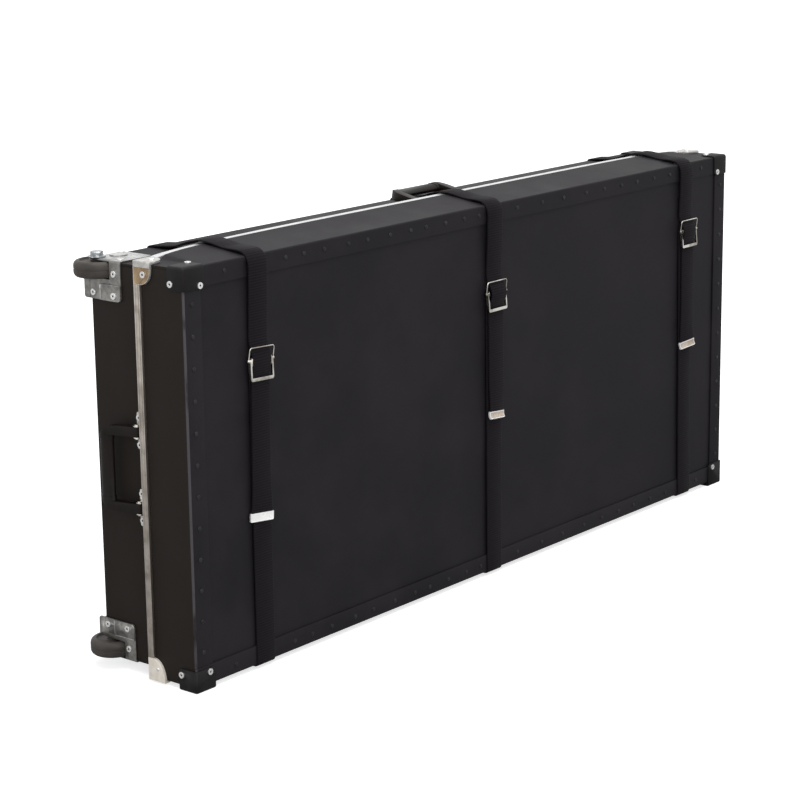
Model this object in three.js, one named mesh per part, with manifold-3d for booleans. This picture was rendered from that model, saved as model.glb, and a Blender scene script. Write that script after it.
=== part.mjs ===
// A vulcanised fibre display case that stands on its long edge, in millimetres with +Z up.
// The lid faces -Y and slides over the base, which rolls on two castors set in its left corners.
// Three webbing straps with lever buckles go round both halves, and a folding handle sits on
// the top and on each end of the base.
import * as THREE from "three";
import { mergeVertices } from "three/addons/utils/BufferGeometryUtils.js";
import Module from "manifold-3d";

const wasm = await Module();
wasm.setup();

// Driving sizes of the two halves
const lidLength = 1475;
const lidHeight = 640;
const lidDepth = 91;
const baseDepth = 113;
const baseInset = 11;
const baseTopInset = 7;
const baseOverlap = 78;
const wall = 4;
const flange = 2.5;
const longBand = 31;
const endBand = 36;
const panel = 3;
const seat = 0.3;
const overrun = 1;
const footDrop = 8;

// Places that the two halves give
const lidHalf = lidLength / 2;
const lidBottom = footDrop;
const lidTop = lidBottom + lidHeight;
const baseHalf = lidHalf - baseInset;
const baseBottom = lidBottom + baseInset;
const baseTop = lidTop - baseTopInset;
const lidFront = -lidDepth;

const colours = {
  fibre: 0x2b2b2d,
  handle: 0x1d1c1c,
  aluminium: 0xc9cbcd,
  nickel: 0xd6d3cc,
  steel: 0x9b9a96,
  webbing: 0x222224,
  rubber: 0x161616,
};

function material(colour, roughness, metalness) {
  return new THREE.MeshStandardMaterial({ color: colour, roughness, metalness });
}

const fibre = () => material(colours.fibre, 0.65, 0);
const moulded = () => material(colours.handle, 0.5, 0);
const aluminium = () => material(colours.aluminium, 0.35, 1);
const nickel = () => material(colours.nickel, 0.2, 1);
const steel = () => material(colours.steel, 0.4, 1);
const webbing = () => material(colours.webbing, 0.9, 0);
const rubber = () => material(colours.rubber, 0.8, 0);

const lid = new THREE.Group();
const base = new THREE.Group();

// Solids from three.js geometry

function signedVolume(positions, index) {
  const [a, b, c] = [new THREE.Vector3(), new THREE.Vector3(), new THREE.Vector3()];
  let six = 0;
  for (let i = 0; i < index.length; i += 3) {
    a.fromArray(positions, index[i] * 3);
    b.fromArray(positions, index[i + 1] * 3);
    c.fromArray(positions, index[i + 2] * 3);
    six += a.dot(b.cross(c));
  }
  return six;
}

function solid(geometry) {
  const bare = geometry.index ? geometry.toNonIndexed() : geometry.clone();
  bare.deleteAttribute("normal");
  bare.deleteAttribute("uv");
  const merged = mergeVertices(bare, 1e-4);
  const vertProperties = merged.attributes.position.array;
  const triVerts = new Uint32Array(merged.index.array);
  if (signedVolume(vertProperties, triVerts) < 0) {
    triVerts.reverse();
  }
  return new wasm.Manifold(new wasm.Mesh({ numProp: 3, vertProperties, triVerts }));
}

function join(...solids) {
  return solids.reduce((whole, next) => whole.add(next));
}

function addPiece(group, name, whole, finish) {
  const made = whole.getMesh();
  const geometry = new THREE.BufferGeometry();
  geometry.setAttribute("position", new THREE.BufferAttribute(new Float32Array(made.vertProperties), 3));
  geometry.setIndex(new THREE.BufferAttribute(new Uint32Array(made.triVerts), 1));
  geometry.computeVertexNormals();
  const mesh = new THREE.Mesh(geometry, finish);
  mesh.name = name;
  group.add(mesh);
  return mesh;
}

function box(x, y, z) {
  const geometry = new THREE.BoxGeometry(x[1] - x[0], y[1] - y[0], z[1] - z[0]);
  geometry.translate((x[0] + x[1]) / 2, (y[0] + y[1]) / 2, (z[0] + z[1]) / 2);
  return solid(geometry);
}

// A pair of limits, lowest first, whichever way round they come
function span(a, b) {
  return [Math.min(a, b), Math.max(a, b)];
}

const axisOf = {
  x: new THREE.Vector3(1, 0, 0),
  y: new THREE.Vector3(0, 1, 0),
  z: new THREE.Vector3(0, 0, 1),
};

function turned(geometry, direction, place) {
  const turn = new THREE.Quaternion().setFromUnitVectors(axisOf.y, direction);
  geometry.applyQuaternion(turn);
  geometry.translate(place.x, place.y, place.z);
  return geometry;
}

// A round bar between two points
function bar(from, to, radius, sides) {
  const direction = new THREE.Vector3().subVectors(to, from);
  const length = direction.length();
  const middle = new THREE.Vector3().addVectors(from, to).multiplyScalar(0.5);
  const geometry = new THREE.CylinderGeometry(radius, radius, length, sides);
  return solid(turned(geometry, direction.normalize(), middle));
}

// A turned piece: pairs of radius and height, from the axis out and back to it
function lathe(profile, sides, direction, place) {
  const points = profile.map(([r, h]) => new THREE.Vector2(r, h));
  return solid(turned(new THREE.LatheGeometry(points, sides), direction, place));
}

// Rivet heads: a root sunk in what carries them, a short rim and a low crown
const blackRivet = { radius: 4, height: 1.4, root: 0.8, rimShare: 0.35, crownShare: 0.6, sides: 6 };
const brightRivet = { radius: 5, height: 1.8, root: 0.8, rimShare: 0.35, crownShare: 0.6, sides: 12 };

function rivet(kind, direction, place) {
  const profile = [
    [0, -kind.root],
    [kind.radius, -kind.root],
    [kind.radius, kind.height * kind.rimShare],
    [kind.radius * kind.crownShare, kind.height],
    [0, kind.height],
  ];
  return lathe(profile, kind.sides, direction, place);
}

function evenly(from, to, pitch) {
  const gaps = Math.max(1, Math.round((to - from) / pitch));
  return Array.from({ length: gaps + 1 }, (_, i) => from + ((to - from) * i) / gaps);
}

// Straps and buckles: where they lie along the case and how high their pieces sit
const strapWidth = 40;
const webbingThickness = 2.5;
const strapInsets = { left: 152, right: 139 };
const strapClear = 9;
const strapPins = { left: 481, middle: 491, right: 515 };
const strapTips = { left: 243.3, middle: 284.3, right: 302.6 };
const strapArches = { left: 8, middle: 9, right: 8 };
const strapPlaces = { left: strapInsets.left - lidHalf, middle: 0, right: lidHalf - strapInsets.right };
const straps = ["left", "middle", "right"].map((name) => ({
  name,
  x: strapPlaces[name],
  pin: lidBottom + strapPins[name],
  tip: lidBottom + strapTips[name],
  arch: strapArches[name],
}));

// Riveted walls: each half has four boards whose front bands lap over a flat panel

const rivetPitch = 54;
const endRivetPitch = 47;
const rivetDrop = 14.7;
const endRivetInset = 17;
const cornerReach = 41;
const rivetClear = 12;

// The sizes of a half: its faces and which way its panel looks
const halves = {
  lid: {
    group: lid,
    half: lidHalf,
    bottom: lidBottom,
    top: lidTop,
    face: lidFront,
    out: -1,
    rim: -6,
    leftCorner: cornerReach,
  },
  base: {
    group: base,
    half: baseHalf,
    bottom: baseBottom,
    top: baseTop,
    face: baseDepth,
    out: 1,
    rim: -baseOverlap,
    leftCorner: 66,
  },
};

// Aluminium rail at the joint of the two halves
const railWidth = 12;
const railProud = 4.5;
const railClearance = 1.3;
halves.lid.rim = -railWidth / 2 - seat;

// Steel castor housings in the base's left corners
const castor = {
  leg: 66,
  height: 55.5,
  plate: 2,
  axleInset: 7.5,
  axleRadius: 4,
  wheelRadius: 36,
  wheelWidth: 22,
  endPlay: 1,
  slotReach: 44.5,
  pocket: 47,
  runningGap: 0.3,
  padRise: 1.2,
  padFrom: 23,
  padTop: 31.5,
  flangeBack: 9,
  flangeTop: 24.5,
  rivetIn: 52,
  upperRivet: 14.3,
  lowerRivet: 47.6,
};
const bolt = { headRadius: 9.5, headHeight: 7.5, washerRadius: 13.5, washer: 2.4, nutRadius: 6.5, nutHeight: 5 };
castor.shelfTop = castor.wheelWidth + castor.endPlay * 2 - seat;
castor.shelfDrop = castor.shelfTop + castor.plate;

function clearOfStraps(x) {
  return straps.every((strap) => Math.abs(x - strap.x) > strapWidth / 2 + strapClear);
}

// The lid's top board and its rail bow up between the corners, most of all at the joint
const railBow = { height: 7.5, fade: 31.5, power: 6, ease: 0.75 };
const boardBow = { height: 12, fade: 42.5, power: 6, ease: 0.28 };
const bowStations = [0.2, 0.38, 0.54, 0.67, 0.77, 0.84, 0.9, 0.94, 0.97, 0.988, 1];

function bowRise({ height, fade, power, ease }, x) {
  return height * Math.max(0, 1 - (Math.abs(x) / (lidHalf - fade)) ** power) ** ease;
}

// A box along x whose vertices rise by a height that depends on their x and y
function bowedBox(x, y, z, { fade }, rise) {
  const stations = bowStations.map((share) => share * (lidHalf - fade));
  const inside = [...stations.map((place) => -place).reverse(), 0, ...stations];
  const places = [x[0], ...inside.filter((place) => place > x[0] && place < x[1]), x[1]];
  const count = places.length - 1;
  const geometry = new THREE.BoxGeometry(count, y[1] - y[0], z[1] - z[0], count, 1, 1);
  geometry.translate(count / 2, (y[0] + y[1]) / 2, (z[0] + z[1]) / 2);
  const position = geometry.attributes.position;
  for (let i = 0; i < position.count; i += 1) {
    const along = places[Math.round(position.getX(i))];
    position.setX(i, along);
    position.setZ(i, position.getZ(i) + rise(along, position.getY(i)));
  }
  return solid(geometry);
}

function boardRise(x, y) {
  const share = (y - lidFront) / (halves.lid.rim - lidFront);
  return bowRise(boardBow, x) * share;
}

function railRise(x) {
  return bowRise(railBow, x);
}

function longBoard(h, side) {
  const edge = side > 0 ? h.top : h.bottom;
  const inner = edge - side * wall;
  const innerFace = h.face - h.out * flange;
  const across = [-h.half, h.half];
  const flat = [across, span(h.face, h.rim), span(edge, inner)];
  const bows = h === halves.lid && side > 0;
  let board = join(
    bows ? bowedBox(...flat, boardBow, boardRise) : box(...flat),
    box(across, span(h.face, innerFace), span(edge, edge - side * longBand)),
  );
  const outward = axisOf.y.clone().multiplyScalar(h.out);
  const height = edge - side * rivetDrop;
  for (const x of evenly(h.leftCorner + rivetClear - h.half, h.half - cornerReach - rivetClear, rivetPitch)) {
    if (clearOfStraps(x)) {
      board = board.add(rivet(blackRivet, outward, new THREE.Vector3(x, h.face, height)));
    }
  }
  return board;
}

function endBoard(h, side) {
  const edge = side * h.half;
  const inner = edge - side * wall;
  const innerFace = h.face - h.out * flange;
  const between = [h.bottom + wall + seat, h.top - wall - seat];
  const banded = [h.bottom + longBand + seat, h.top - longBand - seat];
  let board = join(
    box(span(edge, inner), span(innerFace - h.out * seat, h.rim), between),
    box(span(edge, inner), span(h.face, h.rim), banded),
    box(span(edge, edge - side * endBand), span(h.face, innerFace), banded),
  );
  const outward = axisOf.y.clone().multiplyScalar(h.out);
  const along = edge - side * endRivetInset;
  const reach = (side > 0 ? cornerReach : h.leftCorner) + rivetClear;
  for (const z of evenly(h.bottom + reach, h.top - reach, endRivetPitch)) {
    board = board.add(rivet(blackRivet, outward, new THREE.Vector3(along, h.face, z)));
  }
  return board;
}

function flatPanel(h) {
  const outer = h.face - h.out * (flange + seat);
  const inside = wall + seat;
  return box(
    [inside - h.half, h.half - inside],
    span(outer, outer - h.out * panel),
    [h.bottom + inside, h.top - inside],
  );
}

// The corner of the base that a castor housing fills, measured in from its three faces
function castorRoom(side) {
  const reach = castor.pocket + castor.plate + seat;
  const drop = castor.shelfDrop + bolt.nutHeight + seat * 2;
  const edge = side > 0 ? baseTop : baseBottom;
  return box(
    [-baseHalf - overrun, reach - baseHalf],
    [baseDepth - reach, baseDepth + overrun],
    span(edge + side * overrun, edge - side * drop),
  );
}

// Hinge pins of the handles go through their own brackets, so walls stay whole
for (const [name, h] of Object.entries(halves)) {
  const rooms = name === "base" ? join(castorRoom(1), castorRoom(-1)) : null;
  const cut = (board) => (rooms ? board.subtract(rooms) : board);
  addPiece(h.group, `${name}_top_wall`, cut(longBoard(h, 1)), fibre());
  addPiece(h.group, `${name}_bottom_wall`, cut(longBoard(h, -1)), fibre());
  addPiece(h.group, `${name}_left_wall`, cut(endBoard(h, -1)), fibre());
  addPiece(h.group, `${name}_right_wall`, cut(endBoard(h, 1)), fibre());
  addPiece(h.group, `${name}_panel`, cut(flatPanel(h)), fibre());
}

// Joint rails, and the pressed corner that closes them at each corner of the lid

const rimCorner = { reach: 36, width: 34.5, steps: 7, rivetInset: 20 };
const rimRounds = { top: [22.5, 22.5], bottom: [22, 34] };
const railInner = baseInset - railClearance;
const topRailInner = baseTopInset - railClearance;
const railSpan = [-railWidth / 2, railWidth / 2];

// A pressed wing: its reach runs along the rail and its width towards the front
function wingPlate(centre, toFront, alongRail, thickness, [roundFront, roundAlong]) {
  const { reach, width, steps } = rimCorner;
  const shape = new THREE.Shape();
  shape.moveTo(0, 0);
  shape.lineTo(width, 0);
  for (let i = 0; i <= steps; i += 1) {
    const angle = (Math.PI / 2) * (i / steps);
    const front = width - roundFront + roundFront * Math.cos(angle);
    shape.lineTo(front, reach - roundAlong + roundAlong * Math.sin(angle));
  }
  shape.lineTo(0, reach);
  const geometry = new THREE.ExtrudeGeometry(shape, { depth: 1, bevelEnabled: false });
  const place = new THREE.Matrix4().makeBasis(toFront, alongRail, thickness).setPosition(centre);
  geometry.applyMatrix4(place);
  return solid(geometry);
}

function makeRimCorner(sx, sz) {
  const edgeX = sx * (lidHalf + railProud);
  const edgeZ = (sz > 0 ? lidTop : lidBottom) + sz * railProud;
  const inX = sx * (lidHalf - railInner);
  const inZ = sz > 0 ? lidTop - topRailInner : lidBottom + railInner;
  const reachX = edgeX - sx * rimCorner.reach;
  const reachZ = edgeZ - sz * rimCorner.reach;
  const corner = new THREE.Vector3(edgeX, railSpan[1], edgeZ);
  const toFront = axisOf.y.clone().negate();
  const toMiddle = axisOf.x.clone().multiplyScalar(-sx);
  const toCentre = axisOf.z.clone().multiplyScalar(-sz);
  const thick = railProud - seat;
  const rounds = sz > 0 ? rimRounds.top : rimRounds.bottom;
  const endPlate = wingPlate(corner, toFront, toCentre, toMiddle.clone().multiplyScalar(thick), rounds);
  const longPlate = wingPlate(corner, toFront, toMiddle, toCentre.clone().multiplyScalar(thick), rounds);
  const inset = rimCorner.rivetInset;
  const onEnd = new THREE.Vector3(edgeX, railSpan[1] - inset, edgeZ - sz * inset);
  const onLong = new THREE.Vector3(edgeX - sx * inset, railSpan[1] - inset, edgeZ);
  return join(
    box(span(edgeX, reachX), railSpan, span(edgeZ, inZ)),
    box(span(edgeX, inX), railSpan, span(edgeZ, reachZ)),
    endPlate,
    longPlate,
    rivet(brightRivet, toMiddle.clone().negate(), onEnd),
    rivet(brightRivet, toCentre.clone().negate(), onLong),
  );
}

const railEnd = rimCorner.reach - railProud + seat;

function longRail(side) {
  const edge = side > 0 ? lidTop : lidBottom;
  const flat = [
    [railEnd - lidHalf, lidHalf - railEnd],
    railSpan,
    span(edge + side * railProud, edge - side * (side > 0 ? topRailInner : railInner)),
  ];
  return side > 0 ? bowedBox(...flat, railBow, railRise) : box(...flat);
}

function endRail(side) {
  const edge = side * lidHalf;
  return box(
    span(edge + side * railProud, edge - side * railInner),
    railSpan,
    [lidBottom + railEnd, lidTop - railEnd],
  );
}

addPiece(lid, "lid_top_rail", longRail(1), aluminium());
addPiece(lid, "lid_bottom_rail", longRail(-1), aluminium());
addPiece(lid, "lid_left_rail", endRail(-1), aluminium());
addPiece(lid, "lid_right_rail", endRail(1), aluminium());

// Moulded corner protectors: three plates with a bright rivet on most of them. Each has its own
// reach along x, y and z, and its rivets' places, measured in from the case's corner
const protector = { proud: 2.5, round: 6, steps: 4 };
const topCorner = { x: 42, y: 30, z: 33.5, front: [32.4, 28.3], end: [23.2, 24], long: [34, 22] };
const baseCorner = { x: cornerReach, y: cornerReach, z: cornerReach, front: [29, 29], end: [29, 29] };
const cornerSizes = {
  lid_top_left: topCorner,
  lid_top_right: topCorner,
  lid_bottom_left: { x: 39, y: 34, z: 27, front: [27, 21.1], end: [28.2, 17.2] },
  lid_bottom_right: { x: cornerReach, y: cornerReach, z: 36, front: [29, 29], end: [29, 27] },
  base_top_right: baseCorner,
  base_bottom_right: baseCorner,
};

// A plate that fills the corner of two edges and is rounded at its far corner
function roundedPlate(corner, [a, farA], [b, farB], normal, from, to) {
  const near = -protector.proud;
  const { round, steps } = protector;
  const shape = new THREE.Shape();
  shape.moveTo(near, near);
  shape.lineTo(farA, near);
  for (let i = 0; i <= steps; i += 1) {
    const angle = (Math.PI / 2) * (i / steps);
    shape.lineTo(farA - round + round * Math.cos(angle), farB - round + round * Math.sin(angle));
  }
  shape.lineTo(near, farB);
  const geometry = new THREE.ExtrudeGeometry(shape, { depth: to - from, bevelEnabled: false });
  geometry.translate(0, 0, from);
  geometry.applyMatrix4(new THREE.Matrix4().makeBasis(a, b, normal).setPosition(corner));
  return solid(geometry);
}

function makeProtector(h, sx, sz, size, stand) {
  const corner = new THREE.Vector3(sx * h.half, h.face, sz > 0 ? h.top : h.bottom);
  const inX = axisOf.x.clone().multiplyScalar(-sx);
  const inY = axisOf.y.clone().multiplyScalar(-h.out);
  const inZ = axisOf.z.clone().multiplyScalar(-sz);
  const outX = inX.clone().negate();
  const outY = inY.clone().negate();
  const outZ = inZ.clone().negate();
  const at = (u, v, w) => {
    const place = corner.clone().addScaledVector(inX, u);
    return place.addScaledVector(inY, v).addScaledVector(inZ, w);
  };
  const [alongX, alongY, alongZ] = [[inX, size.x], [inY, size.y], [inZ, size.z]];
  const { proud } = protector;
  let whole = join(
    roundedPlate(corner, alongX, alongZ, outY, seat, proud),
    roundedPlate(corner, alongY, alongZ, outX, seat, proud),
    roundedPlate(corner, alongX, alongY, outZ, seat, stand),
    rivet(brightRivet, outY, at(size.front[0], -proud, size.front[1])),
    rivet(brightRivet, outX, at(-proud, size.end[0], size.end[1])),
  );
  if (size.long) {
    whole = whole.add(rivet(brightRivet, outZ, at(size.long[0], size.long[1], -stand)));
  }
  return whole;
}

const endSides = { left: -1, right: 1 };
for (const [corner, size] of Object.entries(cornerSizes)) {
  const [half, level, side] = corner.split("_");
  const [sx, sz] = [endSides[side], level === "top" ? 1 : -1];
  const stand = half === "lid" && sz < 0 ? footDrop : protector.proud;
  const piece = makeProtector(halves[half], sx, sz, size, stand);
  addPiece(half === "lid" ? lid : base, `${corner}_protector`, piece, moulded());
  if (half === "lid") {
    addPiece(lid, `${corner}_rim_corner`, makeRimCorner(sx, sz), nickel());
  }
}

// Rubber feet that level the base with the lid's bottom protectors

const foot = { length: 46, width: 24, fromEnd: 210, fromBack: 12 };

for (const [sideName, side] of [["left", -1], ["right", 1]]) {
  const middle = side * (baseHalf - foot.fromEnd);
  const back = baseDepth - foot.fromBack;
  const block = box(
    [middle - foot.length / 2, middle + foot.length / 2],
    [back - foot.width, back],
    [0, baseBottom - seat],
  );
  addPiece(base, `base_${sideName}_foot`, block, rubber());
}

// Castors: a folded steel corner, a wheel pocket behind its slots, a rubber wheel and its bolt

function castorPlace(u, v, w, side) {
  const edge = side > 0 ? baseTop : baseBottom;
  return new THREE.Vector3(u - baseHalf, baseDepth - v, edge - side * w);
}

// A box measured in from the end face, the back face and the long face
function castorBox(u, v, w, side) {
  const low = castorPlace(u[0], v[0], w[0], side);
  const high = castorPlace(u[1], v[1], w[1], side);
  return box(span(low.x, high.x), span(low.y, high.y), span(low.z, high.z));
}

function castorRound(radius, from, to, sides, side) {
  const inset = castor.axleInset;
  return bar(castorPlace(inset, inset, from, side), castorPlace(inset, inset, to, side), radius, sides);
}

const wheelSides = 40;
const boltSides = 16;
const wireSides = 10;

function makeCastorBracket(side) {
  const skin = seat + castor.plate;
  const { leg, height, slotReach, pocket, plate, shelfTop, shelfDrop, padRise } = castor;
  const flangeHeight = [castor.flangeTop, height];
  const endFlange = castorBox([-skin, -seat], [-castor.flangeBack, -seat], flangeHeight, side);
  const outer = castorBox([-skin, leg], [-skin, leg], [-skin, height], side);
  const inner = castorBox([-seat, leg + overrun], [-seat, leg + overrun], [-seat, height + overrun], side);
  const pocketWall = [pocket, pocket + plate];
  const housing = join(
    castorBox([-seat, pocket + plate], [-seat, pocket + plate], [shelfTop, shelfDrop], side),
    castorBox(pocketWall, [-seat, pocket + plate], [-skin, shelfDrop], side),
    castorBox([-seat, pocket + plate], pocketWall, [-skin, shelfDrop], side),
  );
  const slotHeight = [-seat, shelfTop];
  const endSlot = castorBox([-skin - overrun, overrun], [-skin - overrun, slotReach], slotHeight, side);
  const backSlot = castorBox([-skin - overrun, slotReach], [-skin - overrun, overrun], slotHeight, side);
  const pad = [castor.padFrom, leg];
  const padHeight = [castor.padTop, height];
  const pads = join(
    castorBox([-skin - padRise, -skin], pad, padHeight, side),
    castorBox(pad, [-skin - padRise, -skin], padHeight, side),
  );
  const boreRadius = castor.axleRadius + castor.runningGap;
  const bore = castorRound(boreRadius, -skin - overrun, shelfDrop + overrun, boltSides, side);
  let bracket = join(outer.subtract(inner), housing, pads, endFlange);
  bracket = bracket.subtract(endSlot).subtract(backSlot).subtract(bore);
  const toEnd = axisOf.x.clone().negate();
  const toLong = axisOf.z.clone().multiplyScalar(side);
  const { rivetIn, upperRivet, lowerRivet } = castor;
  const edgeIn = (leg - pocket) / 2;
  const proud = -skin - padRise;
  const rivets = [
    [toEnd, castorPlace(-skin, rivetIn, upperRivet, side)],
    [toEnd, castorPlace(proud, rivetIn, lowerRivet, side)],
    [toEnd, castorPlace(-skin, edgeIn, lowerRivet, side)],
    [axisOf.y, castorPlace(rivetIn, -skin, upperRivet, side)],
    [axisOf.y, castorPlace(rivetIn, proud, lowerRivet, side)],
    [axisOf.y, castorPlace(edgeIn, -skin, lowerRivet, side)],
    [toLong, castorPlace(rivetIn, edgeIn, -skin, side)],
    [toLong, castorPlace(edgeIn, rivetIn, -skin, side)],
  ];
  for (const [direction, place] of rivets) {
    bracket = bracket.add(rivet(brightRivet, direction, place));
  }
  return bracket;
}

function makeCastorBolt(side) {
  const skin = seat + castor.plate;
  const washerFrom = -skin - seat;
  const headFrom = washerFrom - bolt.washer;
  const nutFrom = castor.shelfDrop + seat;
  return join(
    castorRound(castor.axleRadius, headFrom, nutFrom + bolt.nutHeight, boltSides, side),
    castorRound(bolt.washerRadius, washerFrom, headFrom, boltSides, side),
    castorRound(bolt.headRadius, headFrom, headFrom - bolt.headHeight, boltSides, side),
    castorRound(bolt.nutRadius, nutFrom, nutFrom + bolt.nutHeight, boltSides / 2, side),
  );
}

const tyreGroove = { depth: 1.5, width: 3 };

function makeWheel(side) {
  const from = castor.endPlay - seat;
  const to = from + castor.wheelWidth;
  const middle = (from + to) / 2;
  const { wheelRadius } = castor;
  const { depth, width } = tyreGroove;
  const ring = castorRound(wheelRadius + overrun, middle - width / 2, middle + width / 2, wheelSides, side);
  const core = castorRound(wheelRadius - depth, middle - width, middle + width, wheelSides, side);
  const boreRadius = castor.axleRadius + castor.runningGap;
  const bore = castorRound(boreRadius, from - overrun, to + overrun, boltSides, side);
  return castorRound(wheelRadius, from, to, wheelSides, side).subtract(ring.subtract(core)).subtract(bore);
}

for (const [sideName, side] of [["top", 1], ["bottom", -1]]) {
  addPiece(base, `${sideName}_castor_bracket`, makeCastorBracket(side), steel());
  addPiece(base, `${sideName}_castor_bolt`, makeCastorBolt(side), steel());
  addPiece(base, `${sideName}_castor_wheel`, makeWheel(side), rubber());
}

// Handles: two arms and an oval grip, hung between the ears of a steel strip

const handle = {
  length: 134,
  arm: 15,
  reach: 55,
  eye: 5,
  gripHigh: 16,
  gripWide: 26,
  pivotRise: 7.3,
  pivotFromJoint: 19,
  restTilt: 12,
  pinRadius: 2.5,
  pinGap: 0.3,
  cornerRound: 20,
  windowRound: 8,
  sides: 20,
};
const clip = { plate: 1.5, width: 11, overhang: 22, ear: 2, earHigh: 5, sideGap: 0.4, pinHead: 1.5 };

// Local axes of a handle: x along its hinge, y from the hinge to the grip, z out of the wall
function handleFrame(place, outward) {
  const towardsBack = axisOf.y.clone();
  const along = new THREE.Vector3().crossVectors(towardsBack, outward);
  return new THREE.Matrix4().makeBasis(along, towardsBack, outward).setPosition(place);
}

// An outline in the hinge's y and z, drawn out along x
function sideExtrusion(points, fromX, toX, place) {
  const shape = new THREE.Shape(points.map(([y, z]) => new THREE.Vector2(y, z)));
  const geometry = new THREE.ExtrudeGeometry(shape, { depth: toX - fromX, bevelEnabled: false });
  geometry.translate(0, 0, fromX);
  geometry.applyMatrix4(new THREE.Matrix4().makeBasis(axisOf.y, axisOf.z, axisOf.x));
  return solid(geometry.applyMatrix4(place));
}

function arc(centre, radiusY, radiusZ, from, to, steps) {
  return Array.from({ length: steps + 1 }, (_, i) => {
    const angle = from + ((to - from) * i) / steps;
    return [centre[0] + radiusY * Math.cos(angle), centre[1] + radiusZ * Math.sin(angle)];
  });
}

// A rectangle from the hinge side to the grip side, rounded at its two grip corners
function gripPlan(halfWide, near, far, round, from, to, place) {
  const quarter = Math.PI / 2;
  const points = [
    [-halfWide, near],
    [halfWide, near],
    ...arc([halfWide - round, far - round], round, round, 0, quarter, handle.sides / 2),
    ...arc([round - halfWide, far - round], round, round, quarter, 2 * quarter, handle.sides / 2),
  ];
  const shape = new THREE.Shape(points.map(([x, y]) => new THREE.Vector2(x, y)));
  const geometry = new THREE.ExtrudeGeometry(shape, { depth: to - from, bevelEnabled: false });
  geometry.translate(0, 0, from);
  return solid(geometry.applyMatrix4(place));
}

function makeHandle(frame) {
  const tilt = new THREE.Matrix4().makeRotationX(THREE.MathUtils.degToRad(handle.restTilt));
  const place = frame.clone().multiply(tilt);
  const { length, arm, reach, eye, gripHigh, gripWide, sides, cornerRound, windowRound } = handle;
  const quarter = Math.PI / 2;
  const step = (4 * quarter) / sides;
  const pinHole = handle.pinRadius + handle.pinGap;
  const outline = [
    ...arc([0, 0], eye, eye, quarter, 3 * quarter, sides / 2),
    ...arc([reach, 0], gripWide / 2, gripHigh / 2, -quarter, quarter, sides / 2),
  ];
  const grip = arc([reach, 0], gripWide / 2, gripHigh / 2, 0, 4 * quarter - step, sides - 1);
  const hole = arc([0, 0], pinHole, pinHole, 0, 4 * quarter - step, sides - 1);
  const half = length / 2;
  const inner = half - arm;
  const far = reach + gripWide / 2;
  const windowFar = reach - gripWide / 4;
  const plan = gripPlan(half, -eye - overrun, far, cornerRound, -gripHigh, gripHigh, place);
  const window = gripPlan(inner, -eye - overrun * 2, windowFar, windowRound, -gripHigh, gripHigh, place);
  const loop = sideExtrusion(outline, -half, half, place).intersect(plan).subtract(window);
  const gripBar = sideExtrusion(grip, -inner, inner, place);
  return join(loop, gripBar).subtract(sideExtrusion(hole, -half - overrun, half + overrun, place));
}

function makeHandleClip(frame) {
  const half = handle.length / 2;
  const { plate, width, overhang, ear, earHigh, sideGap, pinHead } = clip;
  const floor = seat - handle.pivotRise;
  const reach = half + overhang;
  const boxAt = (x, y, z) => {
    const geometry = new THREE.BoxGeometry(x[1] - x[0], y[1] - y[0], z[1] - z[0]);
    geometry.translate((x[0] + x[1]) / 2, (y[0] + y[1]) / 2, (z[0] + z[1]) / 2);
    return solid(geometry.applyMatrix4(frame));
  };
  const point = (x, y, z) => new THREE.Vector3(x, y, z).applyMatrix4(frame);
  const outward = new THREE.Vector3().setFromMatrixColumn(frame, 2);
  let made = boxAt([-reach, reach], [-width / 2, width / 2], [floor, floor + plate]);
  for (const side of [-1, 1]) {
    const outerEar = span(side * (half + sideGap), side * (half + sideGap + ear));
    const innerEdge = half - handle.arm - sideGap;
    const innerEar = span(side * innerEdge, side * (innerEdge - ear));
    for (const x of [outerEar, innerEar]) {
      made = made.add(boxAt(x, [-width / 2, width / 2], [floor, earHigh]));
    }
    const pinFrom = side * (innerEdge - ear - pinHead);
    const pinTo = side * (half + sideGap + ear + pinHead);
    made = made.add(bar(point(pinFrom, 0, 0), point(pinTo, 0, 0), handle.pinRadius, boltSides));
    for (const head of [span(pinFrom, pinFrom + side * pinHead), span(pinTo, pinTo - side * pinHead)]) {
      made = made.add(bar(point(head[0], 0, 0), point(head[1], 0, 0), handle.pinRadius * 1.5, boltSides));
    }
    const rivetAt = point(side * (reach - overhang / 2 + ear), 0, floor + plate);
    made = made.add(rivet(brightRivet, outward, rivetAt));
  }
  return made;
}

const middleHeight = (baseBottom + baseTop) / 2;
const handleWalls = {
  left: [-baseHalf, 0, middleHeight, axisOf.x.clone().negate()],
  top: [0, 0, baseTop, axisOf.z.clone()],
  right: [baseHalf, 0, middleHeight, axisOf.x.clone()],
};

for (const [name, [x, y, z, outward]] of Object.entries(handleWalls)) {
  const place = new THREE.Vector3(x, y + handle.pivotFromJoint, z);
  const frame = handleFrame(place.addScaledVector(outward, handle.pivotRise), outward);
  addPiece(base, `${name}_handle`, makeHandle(frame), moulded());
  addPiece(base, `${name}_handle_clip`, makeHandleClip(frame), nickel());
}

// Straps: bands of webbing bent round the case, in a lid stretch above and below and a base stretch

const strapBend = 1.2;
const archShare = 0.75;
const wireShare = 0.3;
const earShare = 0.85;
const frontLay = seat + webbingThickness / 2;
const tailLay = 4.9;

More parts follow.
